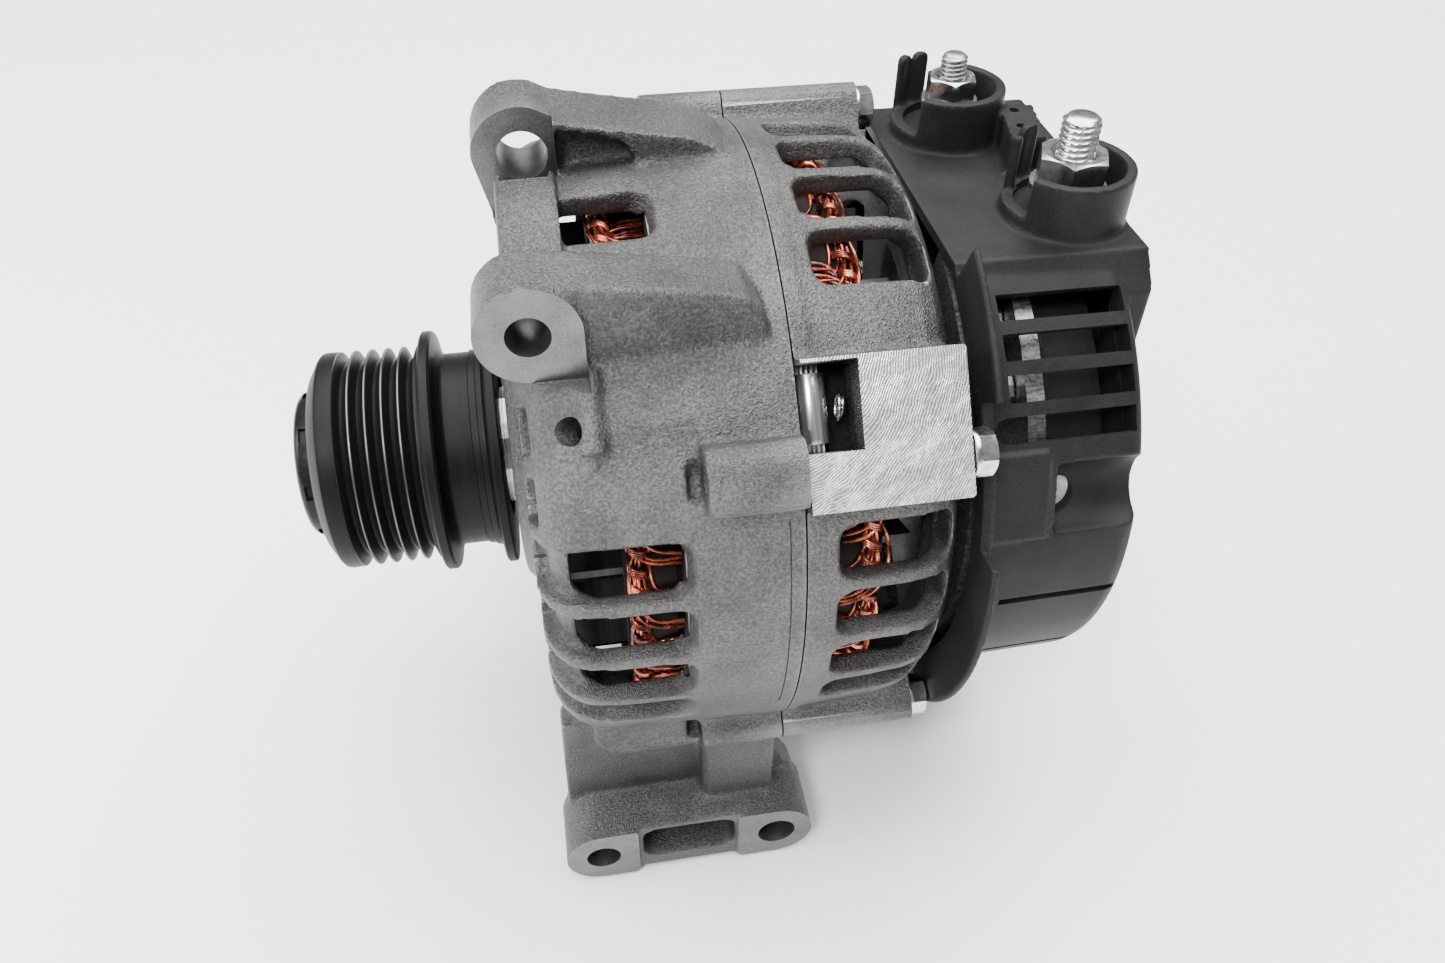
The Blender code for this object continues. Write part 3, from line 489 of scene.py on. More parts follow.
def machined_aluminium():
    made = Shader("machined_aluminium", (0.5, 0.5, 0.5), 0.38, 0.92)
    swirl = made.noise(2400, 3)
    made.colour(made.ramp(made.mix(swirl, made.noise(180, 3), 0.4), (0.35, 0.095), (0.65, 0.175)))
    made.rough(swirl, 0.34, 0.5)
    made.relief(swirl, 0.05, 0.6)
    return made.material


def milled_aluminium():
    """A face left by a large cutter: fine curved feed marks."""
    made = Shader("milled_aluminium", (0.6, 0.6, 0.59), 0.3, 0.95)
    centred = made.node("ShaderNodeMapping", Vector=made.position)
    centred.inputs["Location"].default_value = (0.012, 0.048, -0.060)
    from_cutter = centred.outputs["Vector"]
    marks = made.node("ShaderNodeTexWave", Vector=from_cutter, Scale=600.0, Distortion=18.0, Detail=3.0)
    marks.wave_type = "RINGS"
    marks.rings_direction = "SPHERICAL"
    marks.inputs["Detail Scale"].default_value = 0.25
    line = marks.outputs["Fac"]
    cloud, skip = made.noise(1500, 3), made.noise(120, 3)
    worn = made.mix(made.mix(line, cloud, 0.6), skip, 0.35)
    made.colour(made.ramp(worn, (0.32, 0.42), (0.5, 0.68), (0.66, 0.92)))
    made.rough(cloud, 0.3, 0.44)
    made.relief(made.mix(line, cloud, 0.5), 0.12, 0.8)
    return made.material


def plated_steel(name, colour, roughness):
    made = Shader(name, colour, roughness, 1.0)
    cloud = made.noise(420, 3)
    low, high = (tuple(c * k for c in colour) for k in (0.72, 1.12))
    made.colour(made.ramp(cloud, (0.35, low), (0.62, tuple(min(c, 1.0) for c in high))))
    made.rough(made.noise(1500, 2), roughness * 0.8, roughness * 1.3)
    return made.material


def turned_steel(name, colour, roughness, metallic=1.0, pitch=2200.0, shine=0.5):
    """Steel with fine rings from a lathe, which runs along X."""
    made = Shader(name, colour, roughness, metallic, Specular_IOR_Level=shine)
    rings = made.noise(1.0, 2, 0.5, made.stretched((pitch, 14.0, 14.0)))
    low, high = (tuple(c * k for c in colour) for k in (0.8, 1.2))
    made.colour(made.ramp(rings, (0.35, low), (0.65, high)))
    made.rough(rings, roughness * 0.8, roughness * 1.25)
    made.relief(rings, 0.04, 0.5)
    return made.material


def laminations():
    made = Shader("laminated_steel", (0.33, 0.33, 0.34), 0.42, 1.0)
    sheets = made.node("ShaderNodeTexWave", Vector=made.position, Scale=320.0, Distortion=0.4)
    made.colour(made.ramp(sheets.outputs["Fac"], (0.3, 0.18), (0.7, 0.42)))
    made.relief(sheets.outputs["Fac"], 0.15, 0.8)
    return made.material


def forged_steel():
    made = Shader("forged_steel", (0.06, 0.06, 0.063), 0.5, 0.9)
    scale = made.noise(700, 4)
    made.colour(made.ramp(scale, (0.35, 0.03), (0.65, 0.11)))
    made.rough(scale, 0.4, 0.65)
    made.relief(scale, 0.12, 0.6)
    return made.material


def enamelled_copper():
    made = Shader("enamelled_copper", (0.7, 0.13, 0.06), 0.24, 0.85, Coat_Weight=0.5, Coat_Roughness=0.15)
    shade = made.noise(260, 3)
    dark, middle, light = (0.07, 0.012, 0.008), (0.34, 0.062, 0.034), (0.80, 0.24, 0.13)
    made.colour(made.ramp(shade, (0.38, dark), (0.5, middle), (0.68, light)))
    made.rough(made.noise(2000, 2), 0.18, 0.36)
    return made.material


def moulded_plastic(name, colour, roughness, grain=2600.0):
    made = Shader(name, colour, roughness, Specular_IOR_Level=0.09)
    skin, drift = made.noise(grain, 2), made.noise(90, 3)
    low, high = (tuple(c * k for c in colour) for k in (0.72, 1.3))
    made.colour(made.ramp(made.mix(skin, drift, 0.5), (0.38, low), (0.62, high)))
    made.rough(skin, roughness * 0.86, roughness * 1.14)
    made.relief(skin, 0.09, 0.6)
    return made.material


def carbon():
    made = Shader("carbon", (0.04, 0.04, 0.042), 0.6, 0.2)
    grit = made.noise(3200, 2)
    made.colour(made.ramp(grit, (0.3, 0.02), (0.7, 0.075)))
    made.relief(grit, 0.06, 0.6)
    return made.material


def stamped_aluminium():
    made = Shader("stamped_aluminium", (0.3, 0.3, 0.3), 0.4, 1.0)
    streaks = made.noise(1.0, 3, 0.6, made.stretched((400.0, 900.0, 2600.0)))
    brushed = made.mix(streaks, made.noise(1600, 2), 0.4)
    made.colour(made.ramp(brushed, (0.38, 0.14), (0.6, 0.42)))
    made.rough(brushed, 0.3, 0.48)
    made.relief(brushed, 0.05, 0.5)
    return made.material


LOOKS = {
    "cast": cast_aluminium(),
    "machined": machined_aluminium(),
    "milled": milled_aluminium(),
    "zinc": plated_steel("zinc_plating", (0.60, 0.61, 0.62), 0.22),
    "dull_zinc": plated_steel("dull_zinc", (0.34, 0.34, 0.33), 0.34),
    "polished": turned_steel("polished_sheet", (0.72, 0.73, 0.74), 0.2),
    "steel": turned_steel("ground_steel", (0.56, 0.56, 0.57), 0.26),
    "dark_steel": turned_steel("oiled_steel", (0.07, 0.07, 0.073), 0.4, 0.9, 700.0),
    # Near-black varnish for the end turns, which also paints the shade deep among the wires.
    "varnish_and_shade": turned_steel("dark_varnish_and_shade", (0.010, 0.006, 0.005), 0.6, 0.0, 300.0, 0.08),
    "black_steel": turned_steel("black_coating", (0.005, 0.005, 0.0052), 0.45, 0.0, 1500.0, 0.11),
    "rib_edge": turned_steel("bare_rib_edge", (0.10, 0.10, 0.10), 0.36, 0.8),
    "laminations": laminations(),
    "forged": forged_steel(),
    "copper": enamelled_copper(),
    "ring": turned_steel("copper_ring", (0.72, 0.36, 0.22), 0.22),
    "plastic": moulded_plastic("glass_filled_plastic", (0.014, 0.014, 0.0145), 0.48),
    "gloss_plastic": moulded_plastic("smooth_plastic", (0.008, 0.008, 0.0085), 0.32, 900.0),
    "pale_plastic": moulded_plastic("pale_plastic", (0.72, 0.72, 0.70), 0.4),
    "carbon": carbon(),
    "sheet": stamped_aluminium(),
}


def dress(thing, *looks):
    thing.data.materials.clear()
    for look in looks:
        thing.data.materials.append(LOOKS[look])
    return thing


def place(thing, slot, *nodes, body="housing"):
    """Say which body a finished piece rides on and the CAD nodes it stands for, which are hidden; the finish
    slot argument is not used.
    """
    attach(thing, body)
    if nodes:
        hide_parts(*nodes)
    return thing


def mark_faces(thing, index, chosen):
    """Set the material of every face that chosen(centres in mm, normals) picks."""
    faces = thing.data.polygons
    centres = np.array([face.center[:] for face in faces]) / MM
    normals = np.array([face.normal[:] for face in faces])
    for i in np.flatnonzero(chosen(centres, normals)):
        faces[int(i)].material_index = index


def on_plane(centres, normals, axis, value, side):
    """Faces on the plane across an axis at a value that look along the axis (1) or back (-1)."""
    i = "XYZ".index(axis)
    return (np.abs(centres[:, i] - value) < PLANE_SLACK) & (normals[:, i] * side > 0.98)


# Cast housing brackets


def clocks(groups):
    """The clock angles of slots in groups given as first angle, count and step."""
    return [first + i * step for first, count, step in groups for i in range(count)]


def vent_tools(groups, inner_x, outer_x, inner_width, outer_width):
    """Slots through the wall that open out towards their mouths."""
    near = rounded_rectangle((inner_x[0], -inner_width / 2), (inner_x[1], inner_width / 2), 2.6)
    far = rounded_rectangle((outer_x[0], -outer_width / 2), (outer_x[1], outer_width / 2), 3.4)
    return gathered("slots", [face_clock(loft("slot", near, far, 58, 76), a) for a in clocks(groups)])


def windows(profile, count, sweep, first, steps=6):
    """Openings between the ribs of a bracket's face."""
    step = 360 / count
    return gathered("windows", [sector("w", profile, first + step * i, sweep, steps) for i in range(count)])


def bolt_bosses(low, high):
    outline = rounded_rectangle((-6.6, 58), (6.6, 76.4), 3.6)
    return gathered("bosses", [face_clock(prism("boss", outline, "X", low, high), a) for a in BOLT_ANGLES])


def bolt_bars(radius, low, high):
    return [bar("bolt", at(0, BOLT_CIRCLE, a)[1:], radius, "X", low, high, 32) for a in BOLT_ANGLES]


def split_tool(near, far, *extra):
    """Everything of the housing between two planes across the shaft, but not the foot."""
    past_wall = SPLIT_RADIUS + 2.4
    tool = turned("split", [(near, 0), (near, past_wall), (far, past_wall), (far, 0)])
    blocks = [face_clock(block("boss", (near, -9, 60), (far, 9, 80)), a) for a in BOLT_ANGLES]
    return fuse(tool, *blocks, *extra)


def drive_end_cavity():
    core_room = [(5, 0), (5, SHELL_BORE), (-23, SHELL_BORE), (-23.4, SHELL_BORE_ENDS), (-40, SHELL_BORE_ENDS)]
    shoulder = [(-44.5, 61), (-46.8, 55), (-46.8, 33.5)]
    bearing_seat = [(-37.9, 31), (-37.9, 23.8), (-51.5, 23.8), (-51.5, 16), (-56, 16), (-56, 0)]
    return turned("cavity", core_room + shoulder + bearing_seat)


def wrap_channels():
    """Channels that carry the vents round the front shoulder on to the face."""
    floor = [(-41, 64.9), (-44.5, 63.2), (-46.8, 60.4), (-48.2, 56.5), (-48.4, 52.5)]
    outline = floor + [(-57, 52.5), (-57, 76), (-41, 76)]
    sides = clocks((FRONT_VENTS[0], FRONT_VENTS[2]))
    channels = [face_clock(prism("channel", outline, "Y", -5.6, 5.6), clock) for clock in sides]
    pocket = [(-47.4, 52.5), (-47.4, 61.2), (-52, 65.6), (-57, 65.6), (-57, 52.5)]
    channels += [face_clock(prism("pocket", pocket, "Y", -4.4, 4.4), clock) for clock in (29.4, 41.8)]
    return gathered("channels", channels)


def trough():
    """The shallow dip along the wall between the sloped boss and the bolt boss."""
    return bar("trough", at(0, 80.4, 36.4)[1:], 12.2, "X", -37.5, -18.5, 96)


def upper_ear():
    outline = arc(UPPER_EAR, UPPER_EAR_RADIUS, 180, 75, 24)
    outline += [(-38.7, 79.6), (-28, 77.5), (-12, 74.7), (-8, 72.9), (-3.9, 70.4), (-3.9, 62), (-50.9, 55)]
    ear = prism("ear", outline, "Y", UPPER_FACE_Y - 3.0, 15.5)
    pocket = [(-38.2, 77.9), (-30, 76.5), (-25, 74.6), (-23, 71.5), (-23, 65), (-38.2, 65)]
    return cut(ear, prism("pocket", pocket, "Y", -3, 2.6))


def ear_web():
    """The wall that joins the two ears across the front shoulder."""
    profile = [(-51.0, 58), (-51.0, 69.4), (-50.0, 70.4), (-39.2, 70.6), (-39.2, 58)]
    return sector("web", profile, 54, 36, 90)


def lower_ear():
    front = LOWER_FACE_Y - 2.6
    outline = arc(LOWER_EAR, LOWER_EAR_RADIUS, 270, 80, 40)
    outline += [(-14, 66.0), (-8, 64.2), (-5, 61.2), (-3.7, 57), (-3.6, 46)]
    arm = prism("arm", outline, "Y", -43.8, -31)
    skirt = prism("skirt", rectangle((-47, LOWER_FACE_Z), (-37.3, 62)), "Y", front, -40)
    return fuse(arm, bar("ring", LOWER_EAR, LOWER_EAR_RADIUS, "Y", front, -31, 64), skirt)


def foot():
    left, right = FOOT_BORES[0][0], FOOT_BORES[1][0]
    outline = arc((left, FOOT_BORE_Z), FOOT_RADIUS, 90, 270, 30)
    outline += arc((right, FOOT_BORE_Z), FOOT_RADIUS, 270, 450, 30)
    base = prism("foot", outline, "Y", FOOT_FACE_Y - 2.4, -48)
    cut(base, block("relief", (-35.6, -68, -95), (-10.4, FOOT_FACE_Y + 1.0, -70)))
    cut(base, prism("hollow", rounded_rectangle((-34.2, -86.6), (-11.2, -75.4), 3.2), "Y", -68, -51.2))
    wall_outline = [(-50.8, -44), (-51.6, -80), (7, -80), (5.4, -73), (-0.6, -62), (-0.6, -44)]
    wall = prism("wall", wall_outline, "Y", -51.2, -45)
    post = prism("post", rounded_rectangle((-18.3, -57), (-0.6, -44), 2.4), "Z", -76, -46)
    root_outline = [(-43.5, -42), (-43.5, -48), (-39.5, -54.2), (-18, -54.2), (-18, -42)]
    return fuse(base, wall, prism("root", root_outline, "Y", -54.4, -44), post)


def sloped_boss():
    """The boss of the tapped hole: a flat that slopes from the shoulder up to a ridge."""
    flat = [(-47.4, 56), (-48.3, 60.6), (-38.9, 70.9)]
    ridge = [(-36.9, 71.3), (-35.2, 69.8), (-34.6, 66), (-34.6, 56)]
    return face_clock(prism("boss", flat + ridge, "Y", -4.8, 10.5), 41)


def tapped_hole():
    """A bar square to the sloped boss's flat."""
    tool = bar("tapped", (0, 0), 2.7, "Z", -8, 9, 40)
    tool.data.transform(shifted(-41.3, 0, 68.3) @ Matrix.Rotation(-0.87, 4, "Y"))
    return face_clock(tool, 40.8)


def drive_end_shell():
    barrel = [(3.0, 0), (3.0, SPLIT_RADIUS), (-3.0, SPLIT_RADIUS), (-38, 68.9)]
    shoulder = [(-43, 68.0), (-46.5, 66.3), (-49.3, 63.2), (-50.9, 59.6), (-51.5, 55)]
    shell = turned("drive_end_casting", barrel + shoulder + [(-51.5, 33.5), (-54.4, 30.5), (-54.4, 0)])
    cut(shell, trough())
    cut(shell, drive_end_cavity())
    cut(shell, wrap_channels())
    cut(shell, vent_tools(FRONT_VENTS, (-44.0, -26.5), (-45.0, -18.0), 9.8, 14.0))
    return cut(shell, windows(rectangle((-56, 34.5), (-44, 52)), 15, 19.8, 13.2))


def drive_end_features():
    features = fuse(upper_ear(), lower_ear())
    fuse(features, foot(), ear_web(), sloped_boss())
    fuse(features, bolt_bosses(-18.8, 3.0))
    return cut(features, drive_end_cavity())


def drive_end_cuts():
    """The machined faces, the line where the moulds met, and the bores."""
    bores = [bar("bore", LOWER_EAR, LOWER_EAR_BORE, "Y", -50, -20)]
    bores.append(bar("bore", UPPER_EAR, UPPER_EAR_BORE, "Y", -5, 20))
    bores += [bar("bore", (x, FOOT_BORE_Z), r, "Y", -70, -40) for x, r in FOOT_BORES]
    bores.append(tapped_hole())
    bores += bolt_bars(2.9, -21, 3)
    return (
        split_tool(-SPLIT_FACE_X, 6),
        block("lower_face", (-60, -50, LOWER_FACE_Z), (-37.0, LOWER_FACE_Y, 75)),
        block("upper_face", (-58, -3, 60), (-38.4, UPPER_FACE_Y, 84)),
        block("foot_face", (-60, -68, -95), (12, FOOT_FACE_Y, -72)),
        sector("parting", rectangle((-3.25, 70.05), (-2.95, 72)), -20, 44, 60),
        gathered("bores", bores),
    )


def drive_end_casting():
    body = drive_end_shell()
    fuse(body, drive_end_features())
    cut(body, gathered("scoops", bolt_bars(4.6, -21.5, -18.3)))
    soften(body, CASTING_VOXEL, CASTING_ROUNDS, 180000)
    for tool in drive_end_cuts():
        cut(body, tool)
    dress(body, "cast", "machined")
    mark_faces(body, 1, drive_end_machined)
    return place(weighted(body, 40), "cast_aluminium", "drive_end_bracket")


def near_bore(centres, normals, bores):
    """Faces on the walls of bores along Y, each given as x, z, radius and its two ends."""
    found = np.zeros(len(centres), dtype=bool)
    for x, z, radius, near, far in bores:
        across, up = centres[:, 0] - x, centres[:, 2] - z
        inward = (across * normals[:, 0] + up * normals[:, 2]) < -0.9 * radius
        along = (centres[:, 1] > near) & (centres[:, 1] < far)
        found |= (np.abs(np.hypot(across, up) - radius) < BORE_SLACK) & inward & along
    return found


def drive_end_machined(centres, normals):
    x, z = centres[:, 0], centres[:, 2]
    bores = [(*LOWER_EAR, LOWER_EAR_BORE, -48, -30), (*UPPER_EAR, UPPER_EAR_BORE, -3, 16)]
    bores += [(bore_x, FOOT_BORE_Z, r, -66, -48) for bore_x, r in FOOT_BORES]
    return (
        on_plane(centres, normals, "X", -SPLIT_FACE_X, 1)
        | (on_plane(centres, normals, "Y", LOWER_FACE_Y, -1) & (x < -37) & (z > LOWER_FACE_Z + 0.2))
        | (on_plane(centres, normals, "Y", UPPER_FACE_Y, -1) & (z > 60))
        | on_plane(centres, normals, "Y", FOOT_FACE_Y, -1)
        | near_bore(centres, normals, bores)
    )


def slip_ring_end_shell():
    barrel = [(-3.0, 0), (-3.0, SPLIT_RADIUS), (3.2, SPLIT_RADIUS - 0.1), (3.6, SPLIT_RADIUS - 0.6)]
    shoulder = [(22, 68.9), (26.5, 68.0), (30, 65.8), (32.4, 62.4), (33.4, 58.6), (33.5, 55)]
    shell = turned("slip_ring_end_casting", barrel + shoulder + [(33.5, 24), (35.6, 22), (35.6, 0)])
    cut(shell, vent_tools(REAR_VENTS, (8.6, 29.5), (5.6, 32.0), 9.8, 13.4))
    high = PAD_HEIGHT + 2.5
    pad = [(-14.3, 58), (14.3, 58), (14.1, high), (-14.1, high)]
    fuse(shell, face_clock(prism("pad", pad, "X", -3.0, 31.4), PAD_ANGLE))
    fuse(shell, bolt_bosses(-3.0, 33.0))
    core_room = [(-5, 0), (-5, SHELL_BORE), (6.0, SHELL_BORE), (6.4, SHELL_BORE_ENDS), (24, SHELL_BORE_ENDS)]
    inner_face = [(28, 60.5), (29.6, 55), (29.6, 25), (20.9, 22), (20.9, 17.8)]
    cut(shell, turned("cavity", core_room + inner_face + [(32.3, 17.8), (32.3, 11), (40, 11), (40, 0)]))
    return cut(shell, windows(rectangle((25, 28), (40, 50)), 5, 50, 32, 12))


def slip_ring_end_casting():
    body = slip_ring_end_shell()
    soften(body, CASTING_VOXEL, CASTING_ROUNDS, 150000)
    pad_split = face_clock(block("pad", (-6, -17, 55), (SPLIT_FACE_X, 17, 80)), PAD_ANGLE)
    cut(body, split_tool(-6, SPLIT_FACE_X, pad_split))
    cut(body, face_clock(block("milling", (-2, -20, PAD_HEIGHT), (34, 20, PAD_HEIGHT + 5)), PAD_ANGLE))
    cut(body, face_clock(block("window", (-1, -8.3, 55), (10.8, 8.3, 80)), WINDOW_ANGLE))
    cut(body, *[face_clock(block("seat", (31.2, -8, 65.5), (37, 8, 80)), a) for a in BOLT_ANGLES])
    cut(body, face_clock(block("pad_end", (31.2, -16, 66.5), (37, 16, 80)), PAD_ANGLE))
    cut(body, gathered("holes", bolt_bars(2.8, -2, 40)))
    dress(body, "cast", "machined", "milled")
    mark_faces(body, 1, lambda centres, normals: on_plane(centres, normals, "X", SPLIT_FACE_X, -1))
    mark_faces(body, 2, pad_faces)
    return place(weighted(body, 40), "cast_aluminium", "slip_ring_end_bracket")


def pad_faces(centres, normals):
    out = np.array(at(0, 1, PAD_ANGLE))
    return (np.abs(centres @ out - PAD_HEIGHT) < PLANE_SLACK) & (normals @ out > 0.98)


# Stator and rotor


def end_turn(chance, near, reach, radius, dive, lean, first, strand, layer):
    """One strand that leaves the core, leans over and dives back in."""
    lift = 0.92 - 0.09 * strand - 0.16 * layer + chance.uniform(-0.05, 0.05)
    wander = chance.uniform(-1.2, 1.2)
    inset = 0.3 * (strand % 2)
    points = []
    for k in range(19):
        share = k / 18
        bulge = math.sin(math.pi * share) ** 0.5
        swing = first + lean * (share - 0.4 * math.sin(math.tau * share) / math.pi) + wander * bulge
        points.append(at(near + reach * lift * bulge, radius - dive * share - inset, swing))
    return points


def end_turns():
    """Bundles of enamelled wire in two layers at each end of the core."""
    chance = random.Random(SEED)
    layers = ((62.1, 1.8, 20.0), (60.6, 1.2, -17.0))
    paths = []
    for near, far in ((-22.8, -34.8), (5.9, 19.6)):
        for layer, (radius, dive, lean) in enumerate(layers):
            for bundle in range(STATOR_SLOTS):
                start = bundle * SLOT_ANGLE + layer * 6.5 + chance.uniform(-1.0, 1.0)
                for strand in range(3):
                    first = start + strand * 0.95
                    paths.append(end_turn(chance, near, far - near, radius, dive, lean, first, strand, layer))
    return paths


def crown_rings():
    """Bundles bound round by a spiral of wire, which run right round on the end turns."""
    circle, radius, twists, steps = 60.4, 1.75, 84, 1680
    paths = []
    for centre_x in (-31.4, 15.6):
        for strand in range(3):
            points = []
            for k in range(steps + 1):
                turn = 360 * k / steps
                roll = math.radians(twists * turn + 40 * strand)
                points.append(at(centre_x + radius * math.cos(roll), circle + radius * math.sin(roll), turn))
            paths.append(points)
    return paths


def stator():
    wires = tubes("end_turn_wires", end_turns(), WIRE_RADIUS, 6)
    place(dress(wires, "copper"), "copper_wire", "stator_winding")
    crowns = tubes("crown_wires", crown_rings(), WIRE_RADIUS, 5)
    place(dress(crowns, "copper"), "copper_wire")
    # Near-black varnished shells under the end-turn wires, which paint the shade deep among the windings.
    for name, low, high in (("front_end_turn_varnish_and_shade", -34.0, -22.4), ("rear_end_turn_varnish_and_shade", 5.4, 18.4)):
        crest = [(low, 57.8), (low + 1.5, 59.6), (high - 1.5, 59.6), (high, 58.6)]
        liner = turned(name, [(low, 55.0), *crest, (high, 55.0)], 96)
        place(dress(smooth(liner), "varnish_and_shade"), "copper_wire")
    core = turned("core_sheets", rectangle((-22.5, 52.6), (5.4, 65.4)))
    teeth = range(0, 360, SLOT_ANGLE)
    slots = [face_clock(block("slot", (-24, -2.6, 50), (8, 2.6, 60.2)), clock) for clock in teeth]
    cut(core, gathered("slots", slots))
    place(dress(smooth(core), "laminations"), "laminations", "stator_core")


def key_plate():
    """The bright rolled key of the stator's core that shows in the bracket's window."""
    crown = [polar((KEY_X, 66.0), 3.0, a) for a in range(170, 5, -11)]
    outline = [(KEY_X - 2.9, 65.0), *crown, (KEY_X + 3.05, 65.0)]
    key = face_clock(prism("core_key", outline, "Y", -6.6, 6.6), WINDOW_ANGLE)
    place(dress(smooth(rounded(key, 0.2)), "polished"), "laminations")
    rings = []
    for radius, x in ((2.5, 8.2), (1.8, 8.9)):
        ring = []
        for k in range(33):
            turn = math.tau * k / 32
            height = 66.4 + 0.7 * radius * math.cos(turn)
            ring.append(at(x + 0.3 * math.sin(turn), height, WINDOW_ANGLE + 0.9 * radius * math.sin(turn)))
        rings.append(ring)
    clip = tubes("core_clip", rings, 0.38, 8)
    place(dress(clip, "zinc"), "zinc_plate")
    # A thin near-black sheet behind the clip, which paints the dark gap that shows in the window.
    shield = sector("window_shade_sheet", rectangle((6.6, 62.8), (12.5, 63.6)), 28, 25, 24)
    place(dress(smooth(shield), "gloss_plastic"), "black_plastic")


# Brush springs


def spring_path(centre):
    """A helix whose first and last turns lie almost flat."""
    flat, flat_rise, turns, steps = 0.07, 0.45, 7.5, 240
    climb = SPRING_HIGH_Z - SPRING_LOW_Z - 2 * SPRING_WIRE - 2 * flat_rise
    path = []
    for k in range(steps + 1):
        share = k / steps
        rise = min(max((share - flat) / (1 - 2 * flat), 0.0), 1.0)
        z = SPRING_LOW_Z + SPRING_WIRE + flat_rise * min(share / flat, 1.0) + climb * rise
        z += flat_rise * max((share - 1 + flat) / flat, 0.0)
        path.append((*polar(centre, SPRING_COIL, 360 * turns * share), z))
    return path


def brush_springs():
    """Coil springs for the brushes, each in place of its CAD spring, with fixed upper ends."""
    for number, joint in ((1, "brush_front_slide"), (2, "brush_rear_slide")):
        (near, front, _), (far, back, _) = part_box(f"brush_spring_{number}")
        centre = ((near + far) / 2 / MM, (front + back) / 2 / MM)
        spring = tubes(f"coil_spring_{number}", [spring_path(centre)], SPRING_WIRE, 8)
        place(dress(spring, "steel"), "bearing_steel", f"brush_spring_{number}")
        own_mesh(spring)


# Pulley


def rim_profile():
    """The rim's outside from its front chamfer to its rear flange."""
    chamfer = [(-97.4, 17.3), (-97.4, 21.0), (-97.1, 21.5), (-95.5, 24.2), (-94.9, 24.9), (-94.2, 25.1)]
    half_groove = ((1.66, RIB_RADIUS), (1.5, RIB_RADIUS - 0.2), (0.42, 22.3))
    grooves = []
    for i in range(GROOVES):
        x = FIRST_GROOVE_X + GROOVE_PITCH * i
        grooves += [(x - dx, r) for dx, r in half_groove] + [(x, 22.1)]
        grooves += [(x + dx, r) for dx, r in reversed(half_groove)]
    flange = [(-73.3, 25.1), (-72.9, 25.6), (-72.7, 27.6), (-72.3, 28.05), (-70.6, 28.05), (-70.1, 27.6)]
    neck = [(-69.5, 24.0), (-68.6, 22.7), (-68.2, 22.5), (-62.6, 22.5), (-62.4, 22.9), (-61.0, 23.0)]
    neck += [(-60.8, 23.4), (-59.6, 23.6)]
    rear_flange = [(-59.2, 24.4), (-58.7, 27.4), (-58.3, 27.85), (-56.7, 27.85), (-56.4, 27.5)]
    return chamfer + grooves + flange + neck + rear_flange + [(-56.4, 17.3)]


def pulley():
    rim = turned("grooved_rim", rim_profile(), 192)
    dress(rim, "black_steel", "rib_edge")
    mark_faces(rim, 1, rib_tips)
    place(smooth(rim, 24), "black_steel", "pulley_rim", body="pulley")
    front = [(-101.6, 0), (-101.6, 14.6), (-101.3, 15.6), (-100.7, 16.4), (-99.9, 16.8), (-96.0, 16.8)]
    cap = turned("end_cap", front + [(-96.0, 14.6), (-99.6, 14.6), (-99.6, 0)], 96)
    around = range(-28, 332, 45)
    notches = [face_clock(block("notch", (-100.0, -1.7, 15.9), (-98.5, 1.7, 20)), clock) for clock in around]
    cut(cap, gathered("notches", notches))
    cut(cap, turned("ring_groove", [(-102, 10.6), (-101.2, 10.8), (-101.2, 11.6), (-102, 11.8)], 96))
    place(dress(smooth(cap), "gloss_plastic"), "black_plastic", "pulley_cap", body="pulley")


def rib_tips(centres, normals):
    grooved = (centres[:, 0] > -92) & (centres[:, 0] < -73.6)
    return grooved & (np.hypot(centres[:, 1], centres[:, 2]) > RIB_RADIUS - 0.25)


# Fasteners


def thread(name, centre, radius, pitch, low, high, tip):
    """A stud with a helical thread and a chamfered tip."""
    columns = 48
    rows = int((high - low) / pitch * 8)
    verts = []
    for row in range(rows + 1):
        z = low + (high - low) * row / rows
        for column in range(columns):
            phase = ((z - low) / pitch - column / columns) % 1.0
            depth = abs(2 * phase - 1)
            r = radius - 0.58 * pitch * min(max(depth * 1.25 - 0.12, 0.0), 1.0)
            r = min(r, tip + max(0.0, (high - z)) * 1.5)
            x, y = polar(centre, r, 360 * column / columns)
            verts.append((x * MM, y * MM, z * MM))
    return meshed(name, verts, ring_faces(0, rows + 1, columns))


def chamfered_hex(name, centre, flats, low, high, turn):
    """A hexagonal prism along Z whose corners are turned off at the top."""
    corner = flats / 2 / math.cos(math.radians(30))
    body = prism(name, [polar(centre, corner, turn + 60 * i) for i in range(6)], "Z", low, high)
    slope_low = high - (corner - flats / 2) * 0.62 - 0.1
    crown = flats / 2 - 0.25
    levels = ((low - 1, corner + 1), (slope_low, corner + 0.02), (high, crown), (high + 1, crown))
    return combine(body, [stacked("turning", centre, levels, 72)], "INTERSECT")


def plated(thing, node):
    """Break a fastener's edges, plate it and let it stand for its CAD node."""
    dress(smooth(rounded(thing, 0.12, 30)), "zinc")
    return place(thing, "zinc_plate", node)


